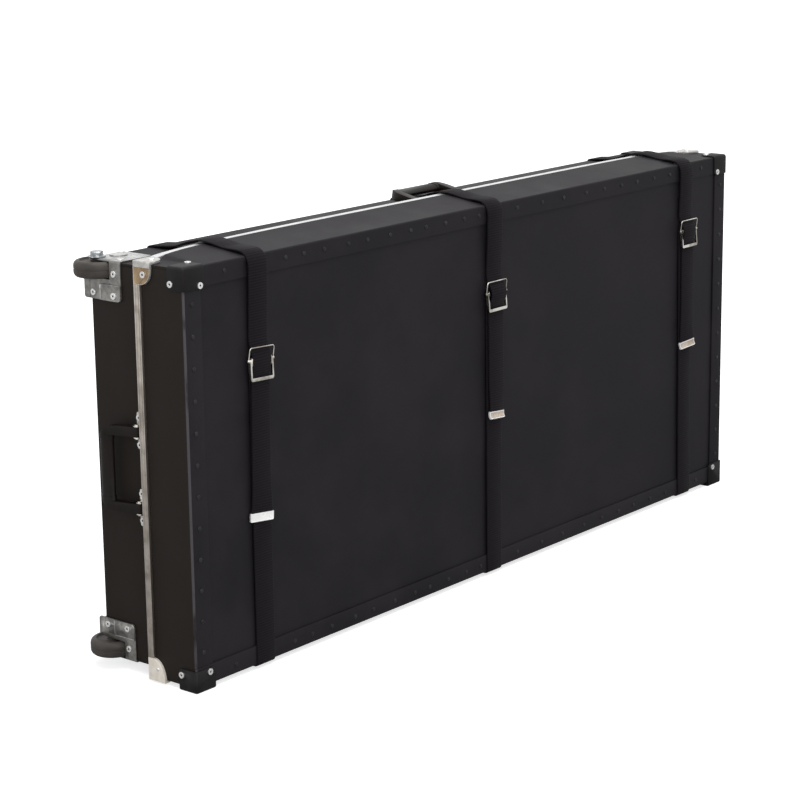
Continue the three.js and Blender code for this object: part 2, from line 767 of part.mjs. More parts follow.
function bandOutline(path, thickness) {
  const left = [];
  const right = [];
  path.forEach((point, i) => {
    const before = path[Math.max(0, i - 1)];
    const after = path[Math.min(path.length - 1, i + 1)];
    const inward = new THREE.Vector2(point[0] - before[0], point[1] - before[1]).normalize();
    const outward = new THREE.Vector2(after[0] - point[0], after[1] - point[1]).normalize();
    const run = inward.clone().add(outward).normalize();
    const spread = Math.max(run.dot(i > 0 ? inward : outward), 0.5);
    const offset = thickness / 2 / spread;
    left.push([point[0] - run.y * offset, point[1] + run.x * offset]);
    right.push([point[0] + run.y * offset, point[1] - run.x * offset]);
  });
  return [...left, ...right.reverse()];
}

// A band whose path is given in y and z, at a place along the case
function band(path, x, width, thickness) {
  const place = new THREE.Matrix4().makeTranslation(x, 0, 0);
  return sideExtrusion(bandOutline(path, thickness), -width / 2, width / 2, place);
}

const buckle = {
  pinRadius: 1.5,
  pinLay: 7.6,
  pinHead: 1.2,
  gap: 0.4,
  ear: 1.4,
  earUp: 5,
  earDown: 19,
  earRise: 3,
  plate: 1.5,
  plateLay: 3.1,
  leverArm: 2.9,
  leverBar: 6,
  leverThick: 3.2,
  leverLay: 11,
  leverEye: 3.2,
  leverDrop: 31,
  wire: 2.6,
  wireLay: 10,
  wireRise: 21,
  strapLay: 10.4,
};

// How far out from the strap's middle each layer of a buckle starts and ends
const buckleEar = strapWidth / 2 + buckle.gap;
const buckleLever = buckleEar + buckle.ear + buckle.gap;
const buckleWire = buckleLever + buckle.leverArm + buckle.gap;
const buckleHalf = buckleWire + buckle.wire;

function upperPath(strap) {
  const { arch } = strap;
  const joint = -seat / 2;
  const lay = lidFront - frontLay;
  const top = lidTop + frontLay;
  const bulge = lidFront - buckle.strapLay;
  const tail = lidFront - tailLay;
  const wireTop = strap.pin + buckle.wireRise;
  const leverBottom = strap.pin - buckle.leverDrop;
  return [
    [joint, lidTop + railProud + frontLay + arch],
    [-railWidth / 2, lidTop + railProud + frontLay + arch],
    [joint - lidDepth / 4, lidTop + railProud + frontLay + arch * archShare],
    [joint - lidDepth / 2, top + arch * archShare],
    [lay + strapBend, top],
    [lay, top - strapBend],
    [lay, wireTop + buckle.wire * 3],
    [lay * (1 - wireShare) + bulge * wireShare, wireTop - buckle.wire],
    [lay * (1 - earShare) + bulge * earShare, strap.pin + buckle.leverEye * 2],
    [bulge, strap.pin],
    [tail * (1 - earShare) + bulge * earShare, strap.pin - buckle.leverEye * 2],
    [tail, leverBottom + buckle.leverBar],
    [tail, leverBottom - seat],
  ];
}

function lowerPath(strap) {
  const lay = lidFront - frontLay;
  const low = lidBottom - frontLay;
  return [
    [-seat / 2, lidBottom - railProud - frontLay],
    [-railWidth, lidBottom - railProud - frontLay],
    [lay + strapBend, low],
    [lay, low + strapBend],
    [lay, strap.pin + buckle.earUp],
  ];
}

function rearPath(strap) {
  const lay = baseDepth + frontLay;
  const top = baseTop + frontLay;
  const low = baseBottom - frontLay;
  const railTop = lidTop + railProud + frontLay + strap.arch;
  const railLow = lidBottom - railProud - frontLay;
  return [
    [seat / 2, railTop],
    [railWidth / 2, railTop],
    [baseDepth / 4, (railTop * 3 + top) / 4],
    [baseDepth / 2, (railTop + top * 3) / 4],
    [lay - strapBend, top],
    [lay, top - strapBend],
    [lay, low + strapBend],
    [lay - strapBend, low],
    [railWidth * 2, (railLow + low) / 2],
    [railWidth, railLow],
    [seat / 2, railLow],
  ];
}

// The buckle's fixed half: a plate with two ears that hold the pin, and a wire loop above it
function makeBuckle(strap) {
  const { x, pin } = strap;
  const pinLay = lidFront - buckle.pinLay;
  const wireLay = lidFront - buckle.wireLay;
  const plateFace = lidFront - buckle.plateLay;
  const earOuter = buckleEar + buckle.ear;
  const radius = buckle.wire / 2;
  const side = buckleWire + radius;
  const top = pin + buckle.wireRise - radius;
  const corner = side - buckle.wire;
  const at = (dx, lay, z) => new THREE.Vector3(x + dx, lay, z);
  const place = new THREE.Matrix4().makeTranslation(x, 0, 0);
  const profile = [
    [plateFace, pin - buckle.earDown],
    [plateFace - buckle.plate, pin - buckle.earDown],
    [pinLay - buckle.earRise, pin - buckle.earRise],
    [pinLay - buckle.earRise, pin + buckle.earRise],
    [plateFace - buckle.plate, pin + buckle.earUp],
    [plateFace, pin + buckle.earUp],
  ];
  const plate = box(
    [x - earOuter, x + earOuter],
    [plateFace - buckle.plate, plateFace],
    [pin - buckle.earDown, pin + buckle.earUp],
  );
  const pinEnd = buckleHalf + buckle.pinHead;
  const pieces = [
    plate,
    bar(at(-pinEnd, pinLay, pin), at(pinEnd, pinLay, pin), buckle.pinRadius, boltSides),
    bar(at(-corner, wireLay, top), at(corner, wireLay, top), radius, wireSides),
  ];
  for (const way of [-1, 1]) {
    const ear = span(way * buckleEar, way * earOuter);
    const joint = at(way * side, wireLay, top - buckle.wire);
    pieces.push(sideExtrusion(profile, ear[0], ear[1], place));
    pieces.push(bar(at(way * side, pinLay, pin - radius), joint, radius, wireSides));
    pieces.push(bar(joint, at(way * corner, wireLay, top), radius, wireSides));
  }
  return join(...pieces);
}

// The buckle's lever: two arms that hang from the pin and the flat bar across the tail
function makeLever(strap) {
  const { x, pin } = strap;
  const outer = buckleLever + buckle.leverArm;
  const eyeLay = -buckle.pinLay;
  const barLay = -buckle.leverLay;
  const half = buckle.leverThick / 2;
  const bottom = -buckle.leverDrop;
  const quarter = Math.PI / 2;
  const foot = [
    [barLay - half, bottom + buckle.leverBar / 4],
    [barLay - half / 2, bottom],
    [barLay + half / 2, bottom],
    [barLay + half, bottom + buckle.leverBar / 4],
    [barLay + half, bottom + buckle.leverBar],
  ];
  const outline = [...arc([eyeLay, 0], buckle.leverEye, buckle.leverEye, 0, 2 * quarter, wireSides), ...foot];
  const crossBar = [...foot, [barLay - half, bottom + buckle.leverBar]];
  const place = new THREE.Matrix4().makeTranslation(x, lidFront, pin);
  const lay = lidFront - buckle.pinLay;
  const hole = bar(
    new THREE.Vector3(x - outer - overrun, lay, pin),
    new THREE.Vector3(x + outer + overrun, lay, pin),
    buckle.pinRadius + seat,
    boltSides,
  );
  return join(
    sideExtrusion(outline, -outer, -buckleLever, place),
    sideExtrusion(outline, buckleLever, outer, place),
    sideExtrusion(crossBar, -outer, outer, place),
  ).subtract(hole);
}

const tip = { length: 13.5, width: 43, thick: 3.6 };

function makeTip(strap) {
  const lay = lidFront - tailLay;
  return box(
    [strap.x - tip.width / 2, strap.x + tip.width / 2],
    [lay - tip.thick / 2, lay + tip.thick / 2],
    [strap.tip - tip.length, strap.tip],
  );
}

function tailPath(strap) {
  const lay = lidFront - tailLay;
  return [
    [lay, strap.pin - buckle.leverDrop - seat * 2],
    [lay, strap.tip + seat],
  ];
}

for (const strap of straps) {
  const { name, x } = strap;
  const webbingBand = (path) => band(path, x, strapWidth, webbingThickness);
  addPiece(lid, `${name}_strap_upper`, webbingBand(upperPath(strap)), webbing());
  addPiece(lid, `${name}_strap_lower`, webbingBand(lowerPath(strap)), webbing());
  addPiece(lid, `${name}_strap_tail`, webbingBand(tailPath(strap)), webbing());
  addPiece(lid, `${name}_strap_tip`, makeTip(strap), nickel());
  addPiece(lid, `${name}_buckle_frame`, makeBuckle(strap), nickel());
  addPiece(lid, `${name}_buckle_lever`, makeLever(strap), nickel());
  addPiece(base, `${name}_strap_rear`, webbingBand(rearPath(strap)), webbing());
}

// The whole case, with its origin under the middle of its outer box

const displayCase = new THREE.Group();
displayCase.add(lid, base);
displayCase.updateMatrixWorld(true);
const outerBox = new THREE.Box3().setFromObject(displayCase, true);
const middle = outerBox.getCenter(new THREE.Vector3());
displayCase.position.set(-middle.x, -middle.y, -outerBox.min.z);

export default displayCase;
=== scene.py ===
# %% [markdown]
# A long display hard case of black fibre board stands on its long edge. A shallow lid slides over
# a slightly smaller base, three webbing straps hold the two together, and two castors sit in the
# base's left corners. This lesson dresses the measured frame of that case: every piece is modelled
# at its own place, given a finish made of nodes, and told which body of the frame it rides on.

# %% Load the measured frame
import bmesh
import bpy
from contextlib import contextmanager
from math import cos, pi, radians, sin
from mathutils import Matrix, Vector


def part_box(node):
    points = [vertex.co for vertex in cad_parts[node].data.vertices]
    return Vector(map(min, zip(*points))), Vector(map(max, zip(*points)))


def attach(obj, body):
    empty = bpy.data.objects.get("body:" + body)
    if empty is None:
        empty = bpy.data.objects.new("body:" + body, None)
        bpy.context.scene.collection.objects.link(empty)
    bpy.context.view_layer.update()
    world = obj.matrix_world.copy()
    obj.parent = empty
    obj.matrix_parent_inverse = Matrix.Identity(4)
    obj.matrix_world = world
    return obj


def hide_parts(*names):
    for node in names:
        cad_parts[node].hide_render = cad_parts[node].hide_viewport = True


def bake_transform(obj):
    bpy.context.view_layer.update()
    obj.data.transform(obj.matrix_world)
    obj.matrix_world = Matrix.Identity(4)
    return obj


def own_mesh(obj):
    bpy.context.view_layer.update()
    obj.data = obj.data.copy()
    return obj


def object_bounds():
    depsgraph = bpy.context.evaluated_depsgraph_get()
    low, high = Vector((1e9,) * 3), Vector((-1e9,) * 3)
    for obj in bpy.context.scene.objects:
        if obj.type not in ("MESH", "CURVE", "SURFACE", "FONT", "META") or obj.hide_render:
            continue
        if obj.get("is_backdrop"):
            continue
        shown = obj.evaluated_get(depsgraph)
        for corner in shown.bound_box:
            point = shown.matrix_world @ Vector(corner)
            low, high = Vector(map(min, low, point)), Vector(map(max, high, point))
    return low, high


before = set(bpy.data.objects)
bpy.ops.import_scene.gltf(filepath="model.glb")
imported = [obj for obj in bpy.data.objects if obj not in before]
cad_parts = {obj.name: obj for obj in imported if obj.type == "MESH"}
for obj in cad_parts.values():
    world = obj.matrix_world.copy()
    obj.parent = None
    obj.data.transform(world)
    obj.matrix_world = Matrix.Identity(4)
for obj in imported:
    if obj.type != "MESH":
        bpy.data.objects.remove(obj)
cad_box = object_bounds()

# %% [markdown]
# The case is easiest to think about in millimetres, with zero at the middle of its length, at the
# joint of the two halves, and at the ground. The top rail of the lid is centred on that joint, so
# its box tells where this zero lies in the frame.

# %% Millimetres on the case
MM = 0.001
rail_low, rail_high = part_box("lid_top_rail")
home = (rail_low + rail_high) / 2
home.z = 0


def at(x, y, z):
    return Vector((x, y, z)) * MM + home


def on_case(point):
    return (point - home) / MM


lid = {"half": 737.5, "bottom": 8, "top": 648, "face": -91, "out": -1, "rim": -6.3}
base = {"half": 726.5, "bottom": 19, "top": 641, "face": 113, "out": 1, "rim": -78}
MIDDLE = {"lid": 328, "base": 330}
print("zero of the case:", [round(value, 5) for value in home])

# %% [markdown]
# The camera stands where the photographer stood: to the left of the case and a little above it.
# Its place and its three turns were found by matching the case's corners in the photograph, so it
# comes first, and everything after it is judged through it.

# %% The camera
CAMERA_PLACE = (-3.07705, -2.44276, 1.24979)
CAMERA_AZIMUTH, CAMERA_DIP, CAMERA_ROLL = radians(50.4837), radians(13.649), radians(-0.7476)
FOCAL_LENGTH = 104.616

ahead = Vector((
    sin(CAMERA_AZIMUTH) * cos(CAMERA_DIP),
    cos(CAMERA_AZIMUTH) * cos(CAMERA_DIP),
    -sin(CAMERA_DIP),
))
level = Vector((cos(CAMERA_AZIMUTH), -sin(CAMERA_AZIMUTH), 0))
raised = level.cross(ahead)
across = level * cos(CAMERA_ROLL) + raised * sin(CAMERA_ROLL)
upright = raised * cos(CAMERA_ROLL) - level * sin(CAMERA_ROLL)

bpy.ops.object.camera_add()
camera = bpy.context.object
camera.name = "camera"
camera.matrix_world = Matrix((
    (across.x, upright.x, -ahead.x, CAMERA_PLACE[0]),
    (across.y, upright.y, -ahead.y, CAMERA_PLACE[1]),
    (across.z, upright.z, -ahead.z, CAMERA_PLACE[2]),
    (0, 0, 0, 1),
))
camera.data.lens = FOCAL_LENGTH
camera.data.sensor_width = 36
bpy.context.scene.camera = camera
bpy.context.scene.view_settings.view_transform = "Standard"
print("camera:", FOCAL_LENGTH, "mm lens at", CAMERA_PLACE)

# %% [markdown]
# Blender's operators act on whatever is selected. A handful of helpers keep that tidy: one clears
# the selection, one opens a piece for editing and closes it again, and one picks faces or edges by
# where they are on the case.

# %% Helpers for modelling by hand


def only(piece):
    bpy.ops.object.select_all(action="DESELECT")
    piece.select_set(True)
    bpy.context.view_layer.objects.active = piece


def settled(piece, name):
    only(piece)
    bpy.ops.object.transform_apply(location=True, rotation=True, scale=True)
    piece.name = piece.data.name = name
    return piece


def block(name, x, y, z):
    low = at(min(x), min(y), min(z))
    high = at(max(x), max(y), max(z))
    bpy.ops.object.select_all(action="DESELECT")
    bpy.ops.mesh.primitive_cube_add(size=1, location=(low + high) / 2, scale=high - low)
    return settled(bpy.context.object, name)


def rod(name, start, end, radius, sides=24):
    """A round bar between two points on the case."""
    start, end = at(*start), at(*end)
    turn = (end - start).to_track_quat("Z", "Y").to_euler()
    bpy.ops.object.select_all(action="DESELECT")
    bpy.ops.mesh.primitive_cylinder_add(
        vertices=sides,
        radius=radius * MM,
        depth=(end - start).length,
        location=(start + end) / 2,
        rotation=turn,
    )
    return settled(bpy.context.object, name)


@contextmanager
def editing(piece, kind="FACE"):
    only(piece)
    bpy.ops.object.mode_set(mode="EDIT")
    bpy.ops.mesh.select_mode(type=kind)
    bpy.ops.mesh.select_all(action="DESELECT")
    yield
    bpy.ops.object.mode_set(mode="OBJECT")


def pick(piece, kind, wanted):
    """Selects the faces, edges or verts whose middle, on the case, passes the test."""
    bpy.ops.mesh.select_all(action="DESELECT")
    cage = bmesh.from_edit_mesh(piece.data)
    for element in getattr(cage, kind):
        corners = [element.co] if kind == "verts" else [vert.co for vert in element.verts]
        middle = on_case(sum(corners, Vector()) / len(corners))
        if wanted(middle, element):
            element.select_set(True)
    bmesh.update_edit_mesh(piece.data)


def near(value, target, slack=0.05):
    return abs(value - target) < slack


def looks(element, direction):
    return element.normal.dot(Vector(direction)) > 0.9


def slice_at(piece, axis, value):
    """Cuts an edge loop right round a piece, where an axis has a value on the case."""
    normal = Vector((0, 0, 0))
    normal[axis] = 1
    bpy.ops.mesh.select_all(action="SELECT")
    bpy.ops.mesh.bisect(plane_co=at(*(normal * value)), plane_no=normal)


def push(x, y, z):
    bpy.ops.mesh.extrude_region_move(TRANSFORM_OT_translate={"value": Vector((x, y, z)) * MM})


def bevel(width, segments, affect="EDGES"):
    bpy.ops.mesh.bevel(offset=width * MM, segments=segments, affect=affect, clamp_overlap=True)


def round_edges(piece, wanted, width, segments):
    with editing(piece, "EDGE"):
        pick(piece, "edges", wanted)
        bevel(width, segments)


def second_finish():
    """Gives the picked faces the second finish of the piece that is open for edit."""
    bpy.context.object.active_material_index = 1
    bpy.ops.object.material_slot_assign()


def modify(piece, kind, **settings):
    only(piece)
    change = piece.modifiers.new(kind.title(), kind)
    for setting, value in settings.items():
        setattr(change, setting, value)
    bpy.ops.object.modifier_apply(modifier=change.name)
    return piece


def discard(*pieces):
    for piece in pieces:
        bpy.data.objects.remove(piece)


def combine(piece, other, way="UNION"):
    modify(piece, "BOOLEAN", object=other, operation=way, solver="EXACT")
    discard(other)
    return piece


def soften(piece, width, segments=2, angle=30):
    modify(
        piece,
        "BEVEL",
        width=width * MM,
        segments=segments,
        limit_method="ANGLE",
        angle_limit=radians(angle),
    )
    only(piece)
    bpy.ops.object.shade_smooth_by_angle(angle=radians(angle))
    return piece


def joined(name, *pieces):
    bpy.ops.object.select_all(action="DESELECT")
    for piece in pieces:
        piece.select_set(True)
    bpy.context.view_layer.objects.active = pieces[0]
    bpy.ops.object.join()
    pieces[0].name = pieces[0].data.name = name
    return pieces[0]


def copied(piece, name, move=(0, 0, 0), turn=None, flip=None):
    """A copy with its own mesh: moved in millimetres, turned by a matrix, or flipped in a plane."""
    twin = piece.copy()
    twin.data = piece.data.copy()
    bpy.context.collection.objects.link(twin)
    change = Matrix.Translation(Vector(move) * MM)
    if turn is not None:
        change = change @ turn
    if flip is not None:
        plane, way = flip
        mirror = Matrix.Scale(-1, 4, Vector(way))
        change = Matrix.Translation(at(*plane)) @ mirror @ Matrix.Translation(-at(*plane)) @ change
    twin.matrix_world = change
    settled(twin, name)
    if flip is not None:
        with editing(twin):
            bpy.ops.mesh.select_all(action="SELECT")
            bpy.ops.mesh.remove_doubles(threshold=0.001 * MM)
            bpy.ops.mesh.normals_make_consistent(inside=False)
    return twin


# %% [markdown]
# Finishes are made of nodes. A small class lets the maths between nodes be written as a sum: each
# Signal stands for a socket, and adding or multiplying signals adds the Math nodes. The Finish
# class owns one material and makes every other node through a single method.

# %% Helpers for finishes


class Signal:
    def __init__(self, finish, socket):
        self.finish, self.socket = finish, socket

    def __add__(self, other):
        return self.finish.sum("ADD", self, other)

    def __sub__(self, other):
        return self.finish.sum("SUBTRACT", self, other)

    def __rsub__(self, other):
        return self.finish.sum("SUBTRACT", other, self)

    def __mul__(self, other):
        return self.finish.sum("MULTIPLY", self, other)

    __radd__, __rmul__ = __add__, __mul__

    def wave(self):
        return self.finish.sum("SINE", self)

    def between(self, low, high, start=0.0, end=1.0):
        settings = {"interpolation_type": "SMOOTHSTEP"}
        sockets = {"Value": self, "From Min": low, "From Max": high, "To Min": start, "To Max": end}
        return self.finish.node("ShaderNodeMapRange", settings, sockets)


class Finish:
    def __init__(self, name):
        self.material = bpy.data.materials.new(name)
        self.material.use_nodes = True
        self.tree = self.material.node_tree
        self.shader = self.tree.nodes["Principled BSDF"]

    def feed(self, socket, value):
        if isinstance(value, Signal):
            self.tree.links.new(value.socket, socket)
        else:
            socket.default_value = value

    def node(self, kind, settings=None, sockets=None, output=0):
        made = self.tree.nodes.new(kind)
        for setting, value in (settings or {}).items():
            setattr(made, setting, value)
        for socket, value in (sockets or {}).items():
            self.feed(made.inputs[socket], value)
        return Signal(self, made.outputs[output])

    def sum(self, operation, *values):
        return self.node("ShaderNodeMath", {"operation": operation}, dict(enumerate(values)))

    def place(self, scale=(1, 1, 1)):
        where = self.node("ShaderNodeTexCoord", output="Object")
        return self.node("ShaderNodeMapping", None, {"Vector": where, "Scale": scale})

    def noise(self, size, detail=3, scale=(1, 1, 1), roughness=0.5):
        sockets = {
            "Vector": self.place(scale), "Scale": size, "Detail": detail, "Roughness": roughness,
        }
        return self.node("ShaderNodeTexNoise", None, sockets)

    def blend(self, factor, first, second):
        sockets = {0: factor, 6: first, 7: second}
        return self.node("ShaderNodeMix", {"data_type": "RGBA"}, sockets, output=2)

    def bump(self, height, strength, depth):
        sockets = {"Height": height, "Strength": strength, "Distance": depth}
        return self.node("ShaderNodeBump", None, sockets)

    def surface(self, **sockets):
        for socket, value in sockets.items():
            self.feed(self.shader.inputs[socket.replace("_", " ")], value)


def colour(red, green, blue):
    """A colour as it looks on screen, 0 to 255, made linear for a shader."""
    values = [value / 255 for value in (red, green, blue)]
    return (*(v / 12.92 if v < 0.04 else ((v + 0.055) / 1.055) ** 2.4 for v in values), 1)


# %% [markdown]
# Vulcanised fibre is paper that has been pressed and dyed right through. It is black with a hint of
# violet, mostly matt, and its face carries a very fine pressed grain and broad, faint clouds where
# hands and the dye have left it duller or shinier. Noise at two sizes gives both.

# %% Black fibre board
# x plus y along the lid's front left fold, where a painted highlight runs down the board.
FOLD_HIGHLIGHT_SUM = at(-737.5, 0, 0).x + at(0, -91, 0).y


def fibre_board(name, end_face):
    """Fibre whose face beyond an x on the case is the browner end face."""
    finish = Finish(name)
    clouds = finish.noise(7, detail=5, roughness=0.6)
    grain = finish.noise(1300, detail=2)
    weft = finish.noise(420, detail=2, scale=(1, 1, 0.35))
    black = finish.blend(clouds.between(0.35, 0.68), colour(28, 26, 29), colour(37, 34, 38))
    split = finish.node("ShaderNodeSeparateXYZ", None, {"Vector": finish.place()}).socket.node
    along, deep = (Signal(finish, split.outputs[index]) for index in (0, 1))
    limit = at(end_face, 0, 0).x
    brown = finish.blend(along.between(limit, limit + 0.001, 1, 0), black, colour(34, 29, 26))
    # Painted highlight: a lighter line down the lid's front left fold, where the rounded fold
    # catches the light, broken up by noise.
    fold_highlight = (along + deep).between(FOLD_HIGHLIGHT_SUM + 0.0031, FOLD_HIGHLIGHT_SUM + 0.0026)
    highlight_breaks = finish.noise(55, detail=4, scale=(1, 1, 0.3)).between(0.28, 0.5)
    finish.surface(
        Base_Color=finish.blend(fold_highlight * highlight_breaks, brown, colour(74, 71, 75)),
        Roughness=clouds.between(0.3, 0.7, 0.5, 0.62) + 0.12 * (grain - 0.5),
        Specular_IOR_Level=0.12,
        Normal=finish.bump(grain + 0.6 * weft, 0.35, 0.00012),
    )
    return finish


fibre = {"lid": fibre_board("lid_fibre", -737.3), "base": fibre_board("base_fibre", -726)}

# %% [markdown]
# The corner protectors and the handles are moulded plastic. Both take the fine spark-eroded grain
# of their mould; the handles are browner and a little shinier, because hands polish them.

# %% Moulded plastics


def moulded(name, dark, light, rough, size, shine=0.2):
    finish = Finish(name)
    cloud = finish.noise(22, detail=4)
    spark = finish.noise(size, detail=2, roughness=0.7)
    finish.surface(
        Base_Color=finish.blend(cloud.between(0.3, 0.7), colour(*dark), colour(*light)),
        Roughness=cloud.between(0.3, 0.7, rough - 0.05, rough + 0.07),
        Specular_IOR_Level=shine,
        Normal=finish.bump(spark, 0.3, 0.0001),
    )
    return finish


corner_plastic = moulded("corner_plastic", (14, 12, 13), (22, 19, 20), 0.5, 1600)
handle_plastic = moulded("handle_plastic", (16, 12, 10), (25, 19, 16), 0.34, 1900)

# %% [markdown]
# Metals: the rails are extruded aluminium with fine streaks that run the way the metal was drawn,
# the buckles are bright nickel, the tips and rim corners have paler and browner plates, and the
# castor brackets are dull zinc-plated steel with soft mottling. One function makes them all: it
# mixes a dark and a light tone by streaks and clouds, and the lighter spots are the smoother ones.

# %% Metals


def metal(name, dark, light, rough, size, scale=(1, 1, 1), metallic=1.0):
    finish = Finish(name)
    streak = finish.noise(size, detail=4, scale=scale)
    cloud = finish.noise(30, detail=4)
    tone = 0.5 * streak + 0.5 * cloud
    finish.surface(
        Base_Color=finish.blend(tone.between(0.35, 0.65), colour(*dark), colour(*light)),
        Metallic=metallic,
        Roughness=tone.between(0.35, 0.65, rough + 0.07, rough - 0.05),
        Normal=finish.bump(streak, 0.15, 0.00004),
    )
    return finish


aluminium = metal("drawn_aluminium", (222, 223, 224), (248, 248, 248), 0.3, 40, (1, 30, 1))
# The end rails take a darker, browner copy of the aluminium: painted shade, standing in for the
# darker room they reflect.
dull_aluminium = metal("dull_aluminium", (158, 150, 141), (200, 193, 184), 0.36, 60, (30, 1, 1))
nickel = metal("bright_nickel", (172, 166, 156), (244, 241, 234), 0.16, 60)
tip_white = metal("white_plate", (244, 243, 241), (254, 254, 253), 0.3, 90, metallic=0.2)
tip_beige = metal("beige_plate", (170, 154, 138), (206, 192, 176), 0.3, 90, metallic=0.15)
rim_cream = metal("cream_plate", (226, 218, 205), (242, 235, 223), 0.34, 120, metallic=0.15)
rim_pale = metal("pale_plate", (180, 178, 174), (218, 216, 211), 0.26, 120, metallic=0.6)
rim_tan = metal("tan_plate", (138, 115, 88), (168, 144, 113), 0.34, 70, metallic=0.5)
zinc = metal("zinc_steel", (116, 114, 111), (154, 152, 148), 0.34, 160, metallic=0.7)
# A lighter copy of the zinc for faces that look up: painted light from the lamp above.
zinc_top = metal("zinc_top", (140, 140, 140), (208, 208, 207), 0.36, 160, metallic=0.7)
bolt_zinc = metal("bright_zinc", (132, 134, 136), (206, 210, 212), 0.2, 300)
chrome = metal("rivet_chrome", (222, 222, 220), (250, 250, 249), 0.16, 500, metallic=0.7)
black_paint = moulded("rivet_paint", (30, 29, 32), (44, 43, 46), 0.34, 900)
# The floor of the bright rivets' holes: painted shade, near black.
hole_painted_shade = moulded("rivet_hollow", (12, 12, 12), (20, 20, 20), 0.7, 900)

# %% [markdown]
# Rubber for the tyres and feet is matt and dusty, with a little roughness in its skin.

# %% Rubber
tyre_rubber = moulded("tyre_rubber", (45, 41, 38), (70, 64, 59), 0.5, 700, 0.35)
foot_rubber = moulded("foot_rubber", (26, 26, 26), (38, 38, 38), 0.7, 800)

# %% [markdown]
# Webbing is woven in ribs that cross the strap, about four millimetres apart, with fine threads
# along it. The pattern has to follow the strap round every bend, so each strap carries its own map:
# across the width, and along the run in metres. Sines of those two make ribs and threads.

# %% Webbing
RIB_PITCH = 0.0042
THREAD_PITCH = 0.0016
webbing = Finish("black_webbing")
spread = webbing.node("ShaderNodeUVMap", {"uv_map": "weave"})
split = webbing.node("ShaderNodeSeparateXYZ", None, {"Vector": spread}).socket.node
side_way, run_way = (Signal(webbing, split.outputs[index]) for index in (0, 1))
rib = 0.5 + 0.5 * (run_way * (2 * pi / RIB_PITCH)).wave()
thread = 0.5 + 0.5 * (side_way * (2 * pi / THREAD_PITCH) + 3 * rib).wave()
fuzz = webbing.noise(1500, detail=3)
webbing.surface(
    Base_Color=webbing.blend(rib.between(0.05, 0.9), colour(15, 12, 15), colour(27, 23, 27)),
    Roughness=0.86,
    Specular_IOR_Level=0.12,
    Sheen_Weight=0.05,
    Sheen_Roughness=0.4,
    Normal=webbing.bump(rib + 0.35 * thread + 0.3 * fuzz, 0.45, 0.0004),
)

# %% [markdown]
# Two helpers finish every piece in the same way. One gives it its material. The other says which
# body carries it, and which CAD nodes it stands for. The flat panels keep the frame's own mesh and
# only take the fibre.

# %% Handing a piece to the frame


def painted(piece, finish):
    piece.data.materials.clear()
    piece.data.materials.append(finish.material)
    return piece


def hand_over(piece, body, slot, *nodes):
    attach(piece, body)
    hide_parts(*nodes)


for body, finish in fibre.items():
    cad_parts[f"{body}_panel"].material_slots[0].material = finish.material
print("panels in fibre:", len(fibre))

# %% [markdown]
# Three kinds of rivet hold the case together. The black ones are low domes, and so are the small
# pale ones on the lower rim corners. The bright ones are tubular: a chrome ring round a hole whose
# floor is painted near black, as painted shade.
# Each is modelled once at the zero of the world, looking up, and copied to its places.

# %% Rivet heads
ROOT, DOME_HIGH, RING_HIGH = 0.6, 1.3, 1.8


def rivet_head(name, radius, height, sides):
    bpy.ops.object.select_all(action="DESELECT")
    bpy.ops.mesh.primitive_cylinder_add(
        vertices=sides,
        radius=radius * MM,
        depth=(height + ROOT) * MM,
        location=(0, 0, (height - ROOT) / 2 * MM),
    )
    return settled(bpy.context.object, name)


def rim_of(height):
    return lambda middle, edge: all(near(vert.co.z, height * MM, 0.01 * MM) for vert in edge.verts)


black_rivet = painted(rivet_head("black_rivet", 3.6, DOME_HIGH, 16), black_paint)
pale_rivet = painted(rivet_head("pale_rivet", 2.6, DOME_HIGH, 16), chrome)
for template in (black_rivet, pale_rivet):
    round_edges(template, rim_of(DOME_HIGH), 1.25, 4)
bright_rivet = painted(rivet_head("bright_rivet", 5, RING_HIGH, 24), chrome)
bright_rivet.data.materials.append(hole_painted_shade.material)
# The hole's floor takes the near-black finish, painted shade.
with editing(bright_rivet):
    pick(bright_rivet, "faces", lambda middle, face: looks(face, (0, 0, 1)))
    bpy.ops.mesh.inset(thickness=3.2 * MM)
    push(0, 0, -1.5)
    second_finish()
round_edges(bright_rivet, rim_of(RING_HIGH), 1.2, 4)
for template in (black_rivet, pale_rivet, bright_rivet):
    only(template)
    bpy.ops.object.shade_smooth_by_angle(angle=radians(35))


def set_rivet(template, place, direction):
    turn = Vector(direction).to_track_quat("Z", "Y").to_matrix().to_4x4()
    move = at(*place) / MM
    return copied(template, "rivet", move, turn)


def riveted(piece, name, rivets):
    return joined(name, piece, *(set_rivet(*rivet) for rivet in rivets))


# %% [markdown]
# Each half is a tray of four boards whose front edges are folded over a flat panel as a riveted
# band. A board starts as a block the size of its wall. A strip behind the front face is cut off,
# its inner side is drawn out into the band, and the outer fold is rounded, because thick fibre
# can't be folded sharp.

# %% Board sizes
WALL, FLANGE, GAP = 4, 2.5, 0.3
LONG_BAND, END_BAND = 31, 36
FOLD = 4.5

# The lid's top board and its rail bow up between their ends: by a height, as far as an end, and
# with an ease that says how fast the bow starts there. The board's is nothing at its front fold.
BOARD_BOW = {"height": 12, "end": 695, "ease": 0.28}
RAIL_BOW = {"height": 7.5, "end": 706, "ease": 0.75}
BOW_POWER = 6
BOW_STATIONS = (0.2, 0.38, 0.54, 0.67, 0.77, 0.84, 0.9, 0.94, 0.97, 0.988, 1)


def bow_rise(shape, x):
    return shape["height"] * max(0, 1 - (abs(x) / shape["end"]) ** BOW_POWER) ** shape["ease"]


def share_of_board(y):
    return (y - lid["face"]) / (lid["rim"] - lid["face"])


